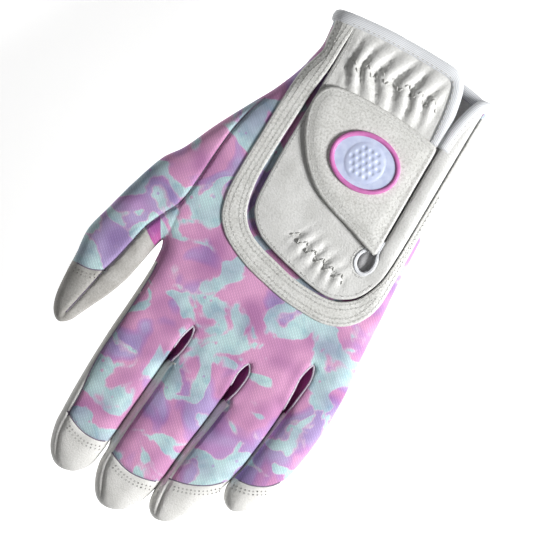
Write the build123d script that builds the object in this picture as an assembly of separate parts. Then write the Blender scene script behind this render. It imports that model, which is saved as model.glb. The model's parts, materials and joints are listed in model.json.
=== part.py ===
from build123d import *
import os
from math import radians, sin

# A left-hand golf glove lying palm down: leather palm and fingertips, printed stretch fabric on the
# back, a leather yoke round the wrist slit, and a padded tab that closes the slit with hook and loop.
# All sizes are in millimetres. Plan points (x, y) are measured from the middle of the wrist edge:
# +x towards the thumb, +y towards the fingertips. +z rises from the palm to the back of the hand.

# ---------------------------------------------------------------- sizes
palm_centre = 70.0        # the origin lies this far from the wrist edge, under the palm
glove_height = 15.0       # outside, palm face to back face
edge_round = 5.5          # rounding of the shell where palm and back turn into the sides
wall = 0.8                # thickness of leather and of stretch fabric
seam_low = 5.0            # height of the seam between palm leather and finger sides
seam_high = 10.0          # height of the seam between finger sides and back fabric
layer = 0.8               # thickness of a leather layer sewn on the shell

knuckle_height = 5.0      # height of the finger hinges above the palm face
flex_max = 80.0           # degrees that a finger bends towards the palm
extend_max = 10.0         # degrees that a finger bends back
joint_gap = 0.3           # free space beyond a hinge line, on the moving side
sweep_gap = 0.5           # free space left round what a bending finger sweeps

# fingers: hinge point, length from there to the tip, lean towards the thumb in degrees,
# width at the hinge, width at the tip, and length of the leather cap on the back
FINGERS = {
    "index": dict(hinge=(32.4, 152), length=70.5, lean=1.5, base=25.4, tip=22.0, cap=19.5),
    "middle": dict(hinge=(4.4, 153), length=74.5, lean=5.0, base=25.2, tip=22.8, cap=19.5),
    "ring": dict(hinge=(-23.0, 149), length=72.5, lean=9.2, base=22.0, tip=20.2, cap=21.0),
    "pinky": dict(hinge=(-45.2, 141), length=61.5, lean=8.5, base=17.6, tip=15.8, cap=15.0),
}
corner_share = 0.47       # radius of a fingertip's corners, as a share of its width
OUTER_SIDE = {"index": 1, "pinky": -1}   # side where the palm leather wraps up: +1 thumb side
tube_run = 12.0           # outlines of moving tubes start this far behind their hinge
stub_run = 4.0            # outlines of the stubs on the hand end this far beyond the hinge
stub_margin = 1.0         # the hinge cut is this much wider than the finger, on each side

# crotches between the fingers, from the thumb side: middle of each slot's end
CROTCHES = {"index_middle": (17.6, 143.0), "middle_ring": (-11.2, 145.0), "ring_pinky": (-36.3, 131.0)}
slot_width = 2.0
slot_round = 0.6
gusset_reach = 6.0        # a crotch gusset reaches this far from its crotch
thumb_gusset_reach = 12.0

# thumb: hinge point, lean, and its two sides from the wrist to the tip, as x, y, rounding
thumb_hinge = (56.5, 100.0)
thumb_lean = 9.0
thumb_flex_max = 50.0
thumb_cap = 27.0          # length of the leather cap on the back of the thumb
thumb_tip_y = 170.0
thumb_slot_y = 106.0      # end of the slot between thumb and hand
THUMB_OUTER = [(60.5, 84.0, 0), (68.0, 104.0, 20), (75.5, 131.0, 30), (72.5, thumb_tip_y, 5.8)]
THUMB_INNER = [(46.2, 84.0, 0), (46.2, thumb_slot_y, 20), (49.2, 128.0, 30), (60.5, thumb_tip_y, 5.8)]
thumb_stub_y = 112.0      # outline of the thumb's stub on the hand ends here

# hand: the sides of its outline below the thumb and below the little finger
run_out = 20.0            # outlines run past the wrist edge by this much before they are cut
THUMB_SIDE = [(29, -run_out, 0), (29, 14, 20), (33.5, 32, 30), (50, 64, 30)]
LITTLE_SIDE = [(-50.9, 110, 40), (-48.5, 70, 40), (-48, -run_out, 0)]
THUMB_SEAM = [(35, 38), (40, 50), (44, 68), (46.2, 98), (46.2, 110), (90, 110), (90, 38)]
wrist_leather = 14.0      # below this the side towards the thumb is palm leather
ulnar_wrap_x = -43.0      # near the wrist the palm leather wraps over the back as far as here
ulnar_wrap_y = 45.0

# closure zone on the back of the hand
YOKE_OUTLINE = [(31.2, -run_out, 0), (32.5, 88, 18), (20, 107, 25), (-14, 115.8, 40),
                (-38, 115.0, 14), (-47.6, 100, 18), (-46.6, -run_out, 0)]
CHANNEL_OUTLINE = [(20.8, -run_out, 0), (24.2, 62, 60), (22.5, 93.5, 16), (-8, 104.6, 40),
                   (-33, 106, 14), (-43.5, 92, 14), (-43.5, -run_out, 0)]
CLOSURE_OUTLINE = [(20.2, -run_out, 0), (20.2, 20, 30), (21.2, 72, 30), (18.5, 91, 14),
                   (-6, 102.4, 40), (-33, 105.6, 14), (-43.1, 91.8, 14), (-43.1, -run_out, 0)]
channel_lap = 4.0         # the stretch strip of the channel runs this far under each side
fabric_lap = 4.3          # the back fabric ends this far outside the yoke's inner edge

slit_x = -32.6            # line of the slit in the closure panel
slit_width = 1.2
mouth_length = 28.0       # length of the flared part of the slit, at the wrist
mouth_right = -30.0       # sides of the slit's mouth at the wrist edge
mouth_left = -43.0
eye_centre = (-32.4, 84.0)
eye_width = 5.6           # opening of the bound eye at the slit's end
eye_length = 7.8
binding = 1.4             # width of the elastic binding round the slit
binding_height = 1.9

cuff_bead = 4.5           # the cuff binding stands out past the wrist edge
cuff_lap = 1.0            # and is this much thicker than the wall, outside and inside

elastic = 0.7             # thickness of the elastic tapes sewn inside
wrist_elastic_size = (42.0, 10.0)
wrist_elastic_at = (-7.0, 17.0)
slit_elastic_size = (30.0, 6.0)
slit_elastic_at = (-14.5, 92.5)
slit_elastic_turn = -14.0

# tab, from bottom to top
loop_pad = 0.6
hook_gap = 0.3            # air between hooks and loops
hook_patch = 0.6
tab_lining = 0.5
tab_padding = 1.0
tab_skin = 0.8
TAB_OUTLINE = [(-34.4, 28.0, 0.8), (-8, 24.6, 60), (21.5, 26.8, 9), (20.8, 43, 22), (-2, 72.2, 40),
               (-34.4, 80.2, 0.8)]
tab_hem = 3.0             # stitched margin round the padding
pad_hem = 7.0             # margin from the tab's edge to the hook patch
loop_margin = 3.0         # the loop pad reaches this much further than the hook patch
pad_root = -26.0          # hook patch and loop pad stay on the thumb side of this
tab_edge_round = 0.7
tab_open_max = 150.0      # degrees that the tab peels back
anchor_width = 6.4        # raised leather strip that the tab is sewn to
anchor_gap = 0.5          # between strip and tab
anchor_drop = 0.3         # the strip's top lies this far under the tab's hinge line
anchor_round = 1.5

badge_at = (-11.5, 48.5)
badge_radii = (15.5, 12.5)
badge_rim = 1.9
badge_base = 0.9
badge_rise = 0.5          # rim and ball stand this far above the base
ball_radius = 8.0
dimple_radius = 1.0
dimple_pitch = 2.9
dimple_depth = 0.3

FAR = 200.0               # longer than the glove: cutting blocks reach this far
DEEP = 40.0               # and this far up or down


# ---------------------------------------------------------------- helpers
def outline(corners):
    """A closed face through x, y, rounding triples, with each corner rounded that has a radius."""
    face = make_face(Polyline(*[corner[:2] for corner in corners], close=True))
    for x, y, radius in corners:
        if radius:
            face = fillet(face.vertices().sort_by_distance((x, y, 0))[0], radius)
    return face


def facing_up(face):
    return face if face.face().normal_at().Z > 0 else -face


def grown(face, amount):
    """The plan face with its outline moved out, or in if the amount is negative."""
    return facing_up(offset(face, amount=amount, kind=Kind.INTERSECTION)) if amount else facing_up(face)


def puffed(face, grow):
    """A glove-high cushion over a plan face, with round edges, grown outwards by grow."""
    cushion = Pos(0, 0, -grow) * extrude(grown(face, grow), amount=glove_height + 2 * grow)
    rims = cushion.edges().filter_by(lambda e: abs(e.tangent_at(0.5).Z) < 0.1)
    return fillet(rims, edge_round + grow)


def column(face, low=-DEEP, high=DEEP):
    """The upright block over a plan face between two heights."""
    return Pos(0, 0, low) * extrude(facing_up(face), amount=high - low)


def block(x=(-FAR, FAR), y=(-FAR, FAR), z=(-DEEP, DEEP)):
    """A cutting block between the given limits."""
    sizes = [high - low for low, high in (x, y, z)]
    return Pos(x[0], y[0], z[0]) * Box(*sizes, align=(Align.MIN, Align.MIN, Align.MIN))


LOW = block(z=(-DEEP, seam_low))
MID = block(z=(seam_low, seam_high))
HIGH = block(z=(seam_high, DEEP))


# ---------------------------------------------------------------- fingers
def finger_place(spec):
    """The frame at a finger's hinge point: y along the finger, x towards the thumb."""
    return Pos(*spec["hinge"], 0) * Rot(0, 0, -spec["lean"])


def finger_half(spec, y):
    """Half the width of a finger, y along it from its hinge."""
    return (spec["base"] + (spec["tip"] - spec["base"]) * y / spec["length"]) / 2


def finger_face(spec):
    """Plan outline of one finger, in its own frame."""
    root, tip = finger_half(spec, -tube_run), spec["tip"] / 2
    radius = corner_share * spec["tip"]
    return outline([(-root, -tube_run, 0), (root, -tube_run, 0), (tip, spec["length"], radius),
                    (-tip, spec["length"], radius)])


def stub_corners(spec):
    """The two corners that end a finger's stub in the outline of the hand, thumb side first."""
    half = finger_half(spec, stub_run)
    spots = [(finger_place(spec) * Pos(side * half, stub_run, 0)).position for side in (1, -1)]
    return [(spot.X, spot.Y, 0) for spot in spots]


def bending_room(inner, outer):
    """What a bending stall sweeps behind its hinge, between two distances across it."""
    back_low = knuckle_height + sweep_gap
    back_high = (glove_height - knuckle_height) * sin(radians(extend_max)) + sweep_gap
    side = Polyline((-back_low, -DEEP), (-back_low, 0), (-back_high, glove_height), (-back_high, DEEP),
                    (FAR, DEEP), (FAR, -DEEP), close=True)
    swept = extrude(make_face(Plane.YZ * side), amount=FAR, both=True, dir=(1, 0, 0))
    return swept & block(x=(inner, outer))


def finger_pieces(name, spec):
    """The leather front, fabric back, leather cap and side walls of one finger."""
    face = finger_face(spec)
    tube = (puffed(face, 0) - puffed(face, -wall)) & block(y=(joint_gap, FAR))
    cap_line = spec["length"] - spec["cap"]
    sides = {1: block(x=(0, FAR)), -1: block(x=(-FAR, 0))}
    front = tube & LOW
    wrap = OUTER_SIDE.get(name)
    if wrap:
        front += tube & MID & sides[wrap]
    made = {
        f"{name}_front": front,
        f"{name}_back": tube & HIGH & block(y=(-FAR, cap_line)),
        f"{name}_tip": tube & HIGH & block(y=(cap_line, FAR)),
    }
    for way, word in ((1, "thumbside"), (-1, "littleside")):
        if way != wrap:
            made[f"{name}_fourchette_{word}"] = tube & MID & sides[way]
    return {node: finger_place(spec) * shape for node, shape in made.items()}


# ---------------------------------------------------------------- thumb
THUMB_PLACE = Pos(*thumb_hinge, 0) * Rot(0, 0, -thumb_lean)


def thumb_pieces():
    """The leather front, fabric back, leather cap and inner side wall of the thumb."""
    face = outline(THUMB_OUTER + THUMB_INNER[::-1])
    tube = THUMB_PLACE.inverse() * (puffed(face, 0) - puffed(face, -wall))
    tube &= block(y=(joint_gap, FAR))
    cap_line = thumb_tip_y - thumb_hinge[1] - thumb_cap
    behind = block(y=(-FAR, cap_line))
    beyond = block(y=(cap_line, FAR))
    outer = block(x=(0, FAR), z=(seam_low, seam_high))
    made = {
        "thumb_front": tube & LOW,
        "thumb_back": (tube & HIGH & behind) + (tube & outer & behind),
        "thumb_tip": (tube & HIGH & beyond) + (tube & outer & beyond),
        "thumb_side": tube & block(x=(-FAR, 0), z=(seam_low, seam_high)),
    }
    return {node: THUMB_PLACE * shape for node, shape in made.items()}


# ---------------------------------------------------------------- hand shell
def crossing(side, y):
    """The point at height y on a side that is given from the wrist to the tip."""
    for (x0, y0, _), (x1, y1, _) in zip(side, side[1:]):
        if y0 < y < y1:
            return (x0 + (x1 - x0) * (y - y0) / (y1 - y0), y, 0)


def slot_corners(x, y):
    """The two corners that end a slot between two fingers, thumb side first."""
    return [(x + slot_width / 2, y, slot_round), (x - slot_width / 2, y, slot_round)]


def hand_outline():
    """Outline of the hand with short stubs of thumb and fingers, from the wrist's thumb side."""
    corners = THUMB_SIDE + THUMB_OUTER[:2]
    corners += [crossing(THUMB_OUTER, thumb_stub_y), crossing(THUMB_INNER, thumb_stub_y)]
    corners += slot_corners(THUMB_INNER[1][0] - slot_width / 2, thumb_slot_y)
    slots = [slot_corners(*crotch) for crotch in CROTCHES.values()] + [[]]
    for spec, slot in zip(FINGERS.values(), slots):
        corners += stub_corners(spec) + slot
    return corners + LITTLE_SIDE


HAND_FACE = outline(hand_outline())
BODY_FACE = outline(THUMB_SIDE + [(66, 96, 0), (44, 135, 0), (-52, 135, 0)] + LITTLE_SIDE)
YOKE_FACE = outline(YOKE_OUTLINE)
CHANNEL_FACE = outline(CHANNEL_OUTLINE)
CLOSURE_FACE = outline(CLOSURE_OUTLINE)


def hinge_cuts():
    """What is taken away from the hand past each hinge."""
    for spec in FINGERS.values():
        reach = spec["base"] / 2 + stub_margin
        yield finger_place(spec) * bending_room(-reach, reach)
    slot_x = THUMB_INNER[1][0] - slot_width / 2
    yield (THUMB_PLACE * bending_room(-FAR, FAR)) & block(x=(slot_x, FAR), y=(0, thumb_stub_y + slot_width))


def slit_face(grow):
    """Plan of the slit with its flared mouth and its eye, grown by the binding's width or not."""
    half = slit_width / 2
    lean_right = (mouth_right - slit_x - half) / mouth_length
    lean_left = (mouth_left - slit_x + half) / mouth_length
    points = [(slit_x - half, eye_centre[1]), (slit_x - half, mouth_length),
              (mouth_left + lean_left * run_out, -run_out), (mouth_right + lean_right * run_out, -run_out),
              (slit_x + half, mouth_length), (slit_x + half, eye_centre[1])]
    slot = facing_up(make_face(Polyline(*points, close=True)))
    eye = Pos(*eye_centre) * Ellipse(eye_width / 2, eye_length / 2)
    return grown(slot, grow) + Pos(*eye_centre) * Ellipse(eye_width / 2 + grow, eye_length / 2 + grow) \
        if grow else slot + eye


def hand_pieces():
    """Palm, back, thumb base and gussets, cut from one shell, and the stretch strip of the channel."""
    shell = (puffed(HAND_FACE, 0) - puffed(HAND_FACE, -wall)) & block(y=(0, FAR))
    for room in hinge_cuts():
        shell -= room
    shell -= column(slit_face(binding), low=seam_high)
    low, mid, high = shell & LOW, shell & MID, shell & HIGH
    made = {}
    for name, (x, y) in CROTCHES.items():
        reach = block(x=(x - gusset_reach, x + gusset_reach), y=(y - gusset_reach, FAR))
        made[f"{name}_gusset"] = mid & reach
        mid -= reach
    x, y = THUMB_INNER[1][0], thumb_slot_y
    reach = block(x=(x - gusset_reach, x + gusset_reach), y=(y - gusset_reach, y + thumb_gusset_reach))
    made["thumb_gusset"] = mid & reach
    mid -= reach
    outer_side = block(x=(0, x), y=(wrist_leather, y - gusset_reach)) + block(x=(x, FAR), y=(wrist_leather, FAR))
    thumb_zone = column(make_face(Polyline(*THUMB_SEAM, close=True)))
    made["thumb_base_back"] = (mid & outer_side) + (high & thumb_zone)
    wrap = block(x=(-FAR, ulnar_wrap_x), y=(-FAR, ulnar_wrap_y))
    made["palm_panel"] = low + (mid - outer_side) + (high & wrap)
    window = column(grown(CHANNEL_FACE, fabric_lap), low=seam_high)
    made["back_panel"] = high - thumb_zone - wrap - window
    strip = column(grown(CHANNEL_FACE, channel_lap)) - column(grown(CLOSURE_FACE, -channel_lap))
    made["channel_strip"] = (high & strip) - wrap
    return made


# ---------------------------------------------------------------- layers sewn on the back
def closure_pieces():
    """The yoke band, the closure panel and its flap, and the binding round the slit between them."""
    skin = puffed(BODY_FACE, layer) - puffed(BODY_FACE, 0)
    skin &= block(y=(0, FAR), z=(seam_high, DEEP))
    skin -= column(slit_face(binding))
    panel = skin & column(CLOSURE_FACE)
    right = block(x=(slit_x, FAR))
    ring = column(slit_face(binding), glove_height, glove_height + binding_height) - column(slit_face(0))
    return {
        "yoke_band": skin & (column(YOKE_FACE) - column(CHANNEL_FACE)),
        "closure_panel": panel & right,
        "ulnar_flap": panel - right,
        "slit_binding": ring & block(y=(0, FAR)),
    }


def cuff_pieces():
    """The padded binding round the wrist edge, open at the slit's mouth."""
    ring = puffed(BODY_FACE, layer + cuff_lap) - puffed(BODY_FACE, -wall - cuff_lap)
    ring &= block(y=(-cuff_bead, 0), z=(0, DEEP))
    return {"cuff_binding": ring - column(slit_face(binding), low=seam_high)}


def tape(size, place, turn=0.0):
    """An elastic tape sewn under the closure panel."""
    return Pos(*place, glove_height - elastic / 2) * Rot(0, 0, turn) * Box(*size, elastic)


# ---------------------------------------------------------------- tab
TAB_FACE = outline(TAB_OUTLINE)
panel_top = glove_height + layer
loop_top = panel_top + loop_pad
hook_low = loop_top + hook_gap
lining_low = hook_low + hook_patch
padding_low = lining_low + tab_lining
tab_top = padding_low + tab_padding + tab_skin


def tab_pieces():
    """Skin, padding, lining and hook patch of the tab."""
    padding = column(grown(TAB_FACE, -tab_hem), padding_low, padding_low + tab_padding)
    skin = column(TAB_FACE, padding_low, tab_top)
    skin = fillet(skin.edges().group_by(Axis.Z)[-1], tab_edge_round) - padding
    return {
        "tab_skin": skin,
        "tab_padding": padding,
        "tab_lining": column(TAB_FACE, lining_low, padding_low),
        "hook_patch": column(grown(TAB_FACE, -pad_hem), hook_low, lining_low) & block(x=(pad_root, FAR)),
    }


def tab_seat_pieces():
    """The loop pad under the tab, and the raised strip along its seam."""
    pad = column(grown(TAB_FACE, loop_margin - pad_hem), panel_top, loop_top)
    ends = TAB_FACE.bounding_box()
    root_x = ends.min.X - anchor_gap
    strip = block(x=(root_x - anchor_width, root_x), y=(ends.min.Y, ends.max.Y),
                  z=(panel_top, tab_top - anchor_drop))
    top_edges = strip.edges().group_by(Axis.Z)[-1]
    return {
        "loop_pad": pad & block(x=(pad_root - loop_margin, FAR)),
        "tab_anchor": fillet(top_edges, anchor_round) - column(slit_face(binding)),
    }


def badge_pieces():
    """An oval badge with a raised rim and a dimpled ball."""
    top = tab_top + badge_base
    inner = [radius - badge_rim for radius in badge_radii]
    dimples = HexLocations(dimple_pitch / 2, 5, 5, major_radius=True)
    ball = column(Circle(ball_radius), top, top + badge_rise)
    reach = ball_radius - 2 * dimple_radius
    for spot in dimples:
        if spot.position.length < reach:
            ball -= spot * column(Circle(dimple_radius), top + badge_rise - dimple_depth)
    rim = column(Ellipse(*badge_radii) - Ellipse(*inner), top, top + badge_rise)
    base = column(Ellipse(*badge_radii), tab_top, top)
    place = Pos(*badge_at, 0)
    return {"badge_base": place * base, "badge_rim": place * rim, "badge_ball": place * ball}


# ---------------------------------------------------------------- write the nodes
pieces = {}
for finger, spec in FINGERS.items():
    pieces |= finger_pieces(finger, spec)
pieces |= thumb_pieces()
pieces |= hand_pieces()
pieces |= closure_pieces()
pieces |= cuff_pieces()
pieces["wrist_elastic"] = tape(wrist_elastic_size, wrist_elastic_at)
pieces["slit_elastic"] = tape(slit_elastic_size, slit_elastic_at, slit_elastic_turn)
pieces |= tab_pieces()
pieces |= tab_seat_pieces()
pieces |= badge_pieces()

os.makedirs("parts", exist_ok=True)
for node, shape in pieces.items():
    export_step(Pos(0, -palm_centre, 0) * shape, f"parts/{node}.step")
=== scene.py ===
# %% [markdown]
# # A golf glove lying palm down
# The glove is a bag of thin cloth and leather, so nearly every piece is a patch of one shell. This lesson draws
# the shell's outline once, as a smoothed curve, and lifts the back and the palm from it with a height rule.
# The patches are then cut out of that one surface, so neighbours share their edges exactly, as sewn panels do.

# %% Frame and units
import json
from math import atan2, cos, hypot, pi, sin
import bpy
import numpy as np
from mathutils import Matrix, Vector, noise
from mathutils.geometry import delaunay_2d_cdt

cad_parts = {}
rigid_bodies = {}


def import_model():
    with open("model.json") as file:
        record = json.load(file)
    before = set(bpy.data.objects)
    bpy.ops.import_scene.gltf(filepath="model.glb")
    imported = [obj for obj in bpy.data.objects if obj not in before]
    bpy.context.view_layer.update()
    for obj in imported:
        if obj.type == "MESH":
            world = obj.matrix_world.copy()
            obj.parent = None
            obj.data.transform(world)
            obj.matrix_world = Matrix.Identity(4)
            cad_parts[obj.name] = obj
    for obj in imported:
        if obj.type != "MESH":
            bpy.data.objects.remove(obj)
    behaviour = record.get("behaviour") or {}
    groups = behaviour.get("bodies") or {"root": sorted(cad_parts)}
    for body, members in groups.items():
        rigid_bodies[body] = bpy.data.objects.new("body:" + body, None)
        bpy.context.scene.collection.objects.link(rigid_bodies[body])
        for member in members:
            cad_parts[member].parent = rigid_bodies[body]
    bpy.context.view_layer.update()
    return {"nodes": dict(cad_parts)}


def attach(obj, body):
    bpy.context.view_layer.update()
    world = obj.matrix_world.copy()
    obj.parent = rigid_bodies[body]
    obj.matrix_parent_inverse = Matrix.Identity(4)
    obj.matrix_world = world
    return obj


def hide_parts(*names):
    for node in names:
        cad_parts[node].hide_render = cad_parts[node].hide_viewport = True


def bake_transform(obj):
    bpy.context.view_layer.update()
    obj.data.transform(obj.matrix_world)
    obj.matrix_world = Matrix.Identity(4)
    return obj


for thing in list(bpy.data.objects):
    bpy.data.objects.remove(thing)
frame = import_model()
PALM_CENTRE = 70.0        # plan positions are in mm, with y counted from the wrist edge; the origin is this far up


def place(points):
    """Plan points in mm, with their heights, as metres in the shared frame."""
    points = np.asarray(points, float).reshape(-1, 3)
    return (points - [0, PALM_CENTRE, 0]) / 1000


# %% [markdown]
# ## The outline
# A cut-out cloth edge has no straight runs: it bends slowly from seam to seam. A few points per side and a
# Catmull-Rom curve through them give that. Each stretch has a name, because the side walls are sewn from it.

# %% The outline, in named stretches
OUTLINE = [
    ("wrist_side", [(29.6, -1.2), (28.7, 7), (28.3, 14), (30, 22)]),
    ("thumb_base_side", [(30.6, 25), (33, 32), (37, 41), (42, 50), (50, 65), (57, 80)]),
    ("thumb_outer", [(63, 89), (68.2, 104), (72, 118), (75, 130)]),
    ("thumb_end", [(74.2, 141), (73.9, 150), (73, 160), (70.8, 166.5), (67, 169.6), (63, 167)]),
    ("thumb_inner", [(60.4, 162), (58, 157), (54.2, 149), (51, 140), (48.9, 130), (47.6, 123)]),
    ("thumb_crotch", [(46.0, 118.2), (44.4, 121)]),
    ("hand_index_side", [(43.8, 128), (43.9, 135)]),
    ("index_outer", [(44.3, 141.5), (44.9, 150), (45.7, 160), (46.4, 175), (46.6, 190)]),
    ("index_end", [(46.4, 201), (46.0, 208), (43.6, 216.2), (39.4, 221.3), (34.6, 222.6), (29.2, 220.8),
                   (25.2, 215.6), (23.7, 208)]),
    ("index_inner", [(23, 200), (22.2, 190), (21, 175), (20, 163)]),
    ("index_keyhole", [(19.3, 155), (18.5, 148.6)]),
    ("middle_keyhole", [(16.4, 143.2), (14.6, 147.4), (15.2, 155)]),
    ("middle_thumbside", [(16.8, 161), (18.4, 175), (19.6, 185), (20.5, 195), (21.5, 205)]),
    ("middle_end", [(21.8, 212.5), (19.6, 220.3), (15.6, 225.9), (10.6, 227.4), (4.6, 225.4), (-0.2, 219.6),
                    (-3, 212)]),
    ("middle_littleside", [(-4.1, 205), (-5, 195), (-6.2, 185), (-7.6, 175), (-8.6, 165)]),
    ("middle_ring_keyhole", [(-9.2, 157), (-9.4, 150)]),
    ("ring_keyhole", [(-11.6, 145.3), (-14.0, 149.2), (-13.4, 157)]),
    ("ring_thumbside", [(-11.6, 164), (-9.6, 175), (-7.9, 185), (-6.3, 195), (-5.1, 205)]),
    ("ring_end", [(-4.2, 211.5), (-5.0, 217.2), (-7.8, 220.6), (-11.6, 221.2), (-16.6, 218.6), (-21.6, 212),
                  (-25.2, 204), (-28.2, 195)]),
    ("ring_littleside", [(-30.4, 186), (-31.9, 175), (-33.0, 165)]),
    ("ring_pinky_keyhole", [(-33.5, 155), (-33.3, 146), (-33.1, 138.6)]),
    ("pinky_keyhole", [(-35.3, 132.3), (-37.7, 138), (-37.0, 147)]),
    ("pinky_thumbside", [(-36.0, 156), (-34.6, 166), (-33.4, 175), (-31.9, 184)]),
    ("pinky_end", [(-30.4, 190), (-29.6, 195), (-31.4, 200), (-35.6, 202.4), (-40.4, 200.4), (-43.8, 196)]),
    ("pinky_outer", [(-46.4, 190), (-48.6, 183), (-50.4, 175), (-52.1, 165), (-53.3, 152), (-53.4, 143)]),
    ("little_side", [(-53.1, 135), (-51.4, 120), (-50.3, 100), (-49.2, 85), (-48.3, 65), (-48.2, 45), (-48.6, 28),
                     (-48.8, 15), (-48.0, 8), (-46.9, 3.4)]),
    ("wrist_mouth", [(-45.0, 0.9), (-41, -0.8), (-34, -2.2), (-20, -3.4), (-5, -4.0), (8, -3.8), (18, -3.1),
                     (25, -2.6), (28.6, -2.1)]),
]


def curve(points, step=1.0, closed=False):
    """A Catmull-Rom curve through plan points, cut into runs of about step mm, and each run's source segment."""
    points = [np.array(p, float) for p in points]
    count = len(points)
    made, source = [], []
    for i in range(count if closed else count - 1):
        if closed:
            a, b, c, d = (points[(i + k) % count] for k in (-1, 0, 1, 2))
        else:
            b, c = points[i], points[i + 1]
            a = points[i - 1] if i else 2 * b - c
            d = points[i + 2] if i + 2 < count else 2 * c - b
        runs = max(1, int(round(np.linalg.norm(c - b) / step)))
        for t in np.arange(runs) / runs:
            bend, twist = 2 * a - 5 * b + 4 * c - d, 3 * b - a - 3 * c + d
            made.append(0.5 * (2 * b + (c - a) * t + bend * t * t + twist * t ** 3))
            source.append(i)
    if not closed:
        made.append(points[-1])
        source.append(count - 2)
    return np.array(made), source


def unit(rows):
    """Rows scaled to length one."""
    return rows / np.maximum(np.linalg.norm(rows, axis=1), 1e-9)[:, None]


def left_of(way):
    """Each plan direction turned a quarter to the left."""
    return np.stack([-way[:, 1], way[:, 0]], 1)


def gaps(line):
    """Distances between the points of a line."""
    return np.linalg.norm(np.diff(line, axis=0), axis=1)


def run_length(line):
    """How far along a line each of its points is."""
    return np.concatenate([[0], np.cumsum(gaps(line))])


def runs_of(line, widest):
    """A line cut wherever two of its points are further apart than widest."""
    return np.split(line, np.flatnonzero(gaps(line) > widest) + 1)


def along_line(at, run, line):
    """The places at given lengths along a line."""
    return np.stack([np.interp(at, run, line[:, k]) for k in range(line.shape[1])], -1)


def oval(across, up, steps, shift=0.0):
    """A closed oval section of steps points."""
    return [(across * cos(a) + shift, up * sin(a)) for a in np.linspace(0, 2 * pi, steps + 1)[:-1]]


def grid(rows, columns, wrap_rows=False, wrap_columns=False):
    """Quads of a grid of points: rows x columns, joined round where it wraps."""
    return [(i * columns + k, (i + 1) % rows * columns + k, (i + 1) % rows * columns + (k + 1) % columns,
             i * columns + (k + 1) % columns)
            for i in range(rows - (not wrap_rows)) for k in range(columns - (not wrap_columns))]


knots = [point for _, points in OUTLINE for point in points]
stretch_of_knot = [name for name, points in OUTLINE for _ in points]
edge, edge_source = curve(knots, step=1.1, closed=True)
edge_name = [stretch_of_knot[i] for i in edge_source]
closed_part = edge[[i for i, name in enumerate(edge_name) if name != "wrist_mouth"]]
# the outline without the wrist's opening, drawn on past the wrist so that the cloth stays level up to its end
side_edge = np.concatenate([[(29.7, -14)], closed_part, [(-46.9, -14)]])
print("outline:", len(edge), "points, from", len(knots), "knots")

# %% [markdown]
# ## The surface
# Sewn panels meet in seams that pull the cloth down, and a stuffed or worn glove stays fullest away from its
# edges. So the height of a point comes from how far it is from the outline, less a small groove at each seam,
# plus slow waves that make it cloth. A flat sheet with a quarter-round rim gives exactly the CAD's shell.

# %% Distances and heights
HEIGHT, LOW_SEAM, HIGH_SEAM = 15.0, 5.0, 10.0     # glove's height, and the two seams of the finger sides
MID_SEAM = (LOW_SEAM + HIGH_SEAM) / 2
RIM = 7.6                                         # how far in from the outline the back turns level


def distance(points, line, closed=False):
    """Distance of each plan point from a line of points."""
    points = np.asarray(points, float)[:, :2]
    start = np.asarray(line, float)
    end = np.roll(start, -1, axis=0)
    if not closed:
        start, end = start[:-1], end[:-1]
    run = end - start
    length = np.maximum((run ** 2).sum(1), 1e-12)
    best = np.empty(len(points))
    for i in range(0, len(points), 1500):
        gap = points[i:i + 1500, None] - start[None]
        along = np.clip((gap * run).sum(2) / length, 0, 1)
        best[i:i + 1500] = ((gap - along[..., None] * run) ** 2).sum(2).min(1)
    return np.sqrt(best)


def wave(points, size, seed=0.0):
    """Slow cloth waves between -1 and 1, about size mm long."""
    return np.array([noise.noise(Vector((x / size, y / size, seed))) for x, y in np.asarray(points)[:, :2]])


def quarter(d, radius):
    """Height from 0 to 1 of a quarter-round rim at distance d from its edge."""
    t = np.clip(d / radius, 0, 1)
    return np.sqrt(np.maximum(0, 1 - (1 - t) ** 2))


CROTCH_RISE = 3.4                                 # how much higher the cloth's edge is at an open crotch
KEYHOLES = [((17.3, 144), (17.0, 157)), ((-11.8, 146), (-11.2, 159)), ((-35.5, 133), (-35.3, 149))]


def at_keyhole(points):
    """1 at the open crotches between the fingers, falling to 0 a few millimetres away."""
    return np.exp(-(np.min([distance(points, line) for line in KEYHOLES], axis=0) / 5.5) ** 4)


def edge_height(points):
    """Height of the cloth's edge: the upper seam, and higher where a crotch is left open."""
    return HIGH_SEAM + CROTCH_RISE * at_keyhole(points)


SEAMS = {}                # name: (line, groove depth, half width)


def seam(name, points, depth=0.5, width=0.7):
    """Notes a seam line on the back, so panels part there and the surface dips along it."""
    SEAMS[name] = (curve(points, step=1.2)[0], depth, width)


seam("thumb", [(33.4, 29.5), (35.6, 38.5), (40, 50), (43, 62), (44.5, 75), (45.5, 90), (47.0, 101), (51, 109),
               (54.5, 117), (56.3, 125), (58.6, 135), (60.6, 142), (62.2, 150), (64.0, 158), (65.6, 165),
               (67.4, 172)], 1.3, 0.8)
seam("thumb_gusset_end", [(55.2, 116.6), (51.5, 119.6), (46.4, 122.9)], 0.3)
seam("thumb_gusset_start", [(45.2, 120.6), (44.9, 114), (45.7, 106), (47.3, 99.6)], 0.4)
seam("thumb_cap", [(59.9, 141.3), (66, 144.2), (76, 144.8)], 0.6, 0.6)
seam("thumb_border", [(45.9, 119.4), (64.4, 88.2)], 0, 1)
seam("index_cap", [(22.2, 202.6), (27.5, 204.6), (34, 204.6), (40, 202.6), (44.2, 200.3)], 0.6, 0.6)
seam("index_side", [(42.7, 128), (42.5, 136), (43.0, 150), (43.8, 161), (44.6, 172), (44.4, 181), (43.4, 190),
                    (43.2, 201), (42.4, 211), (39, 219), (36, 224)], 1.0, 0.65)
seam("index_side_start", [(42.7, 128), (46, 126)], 0.3)
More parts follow.
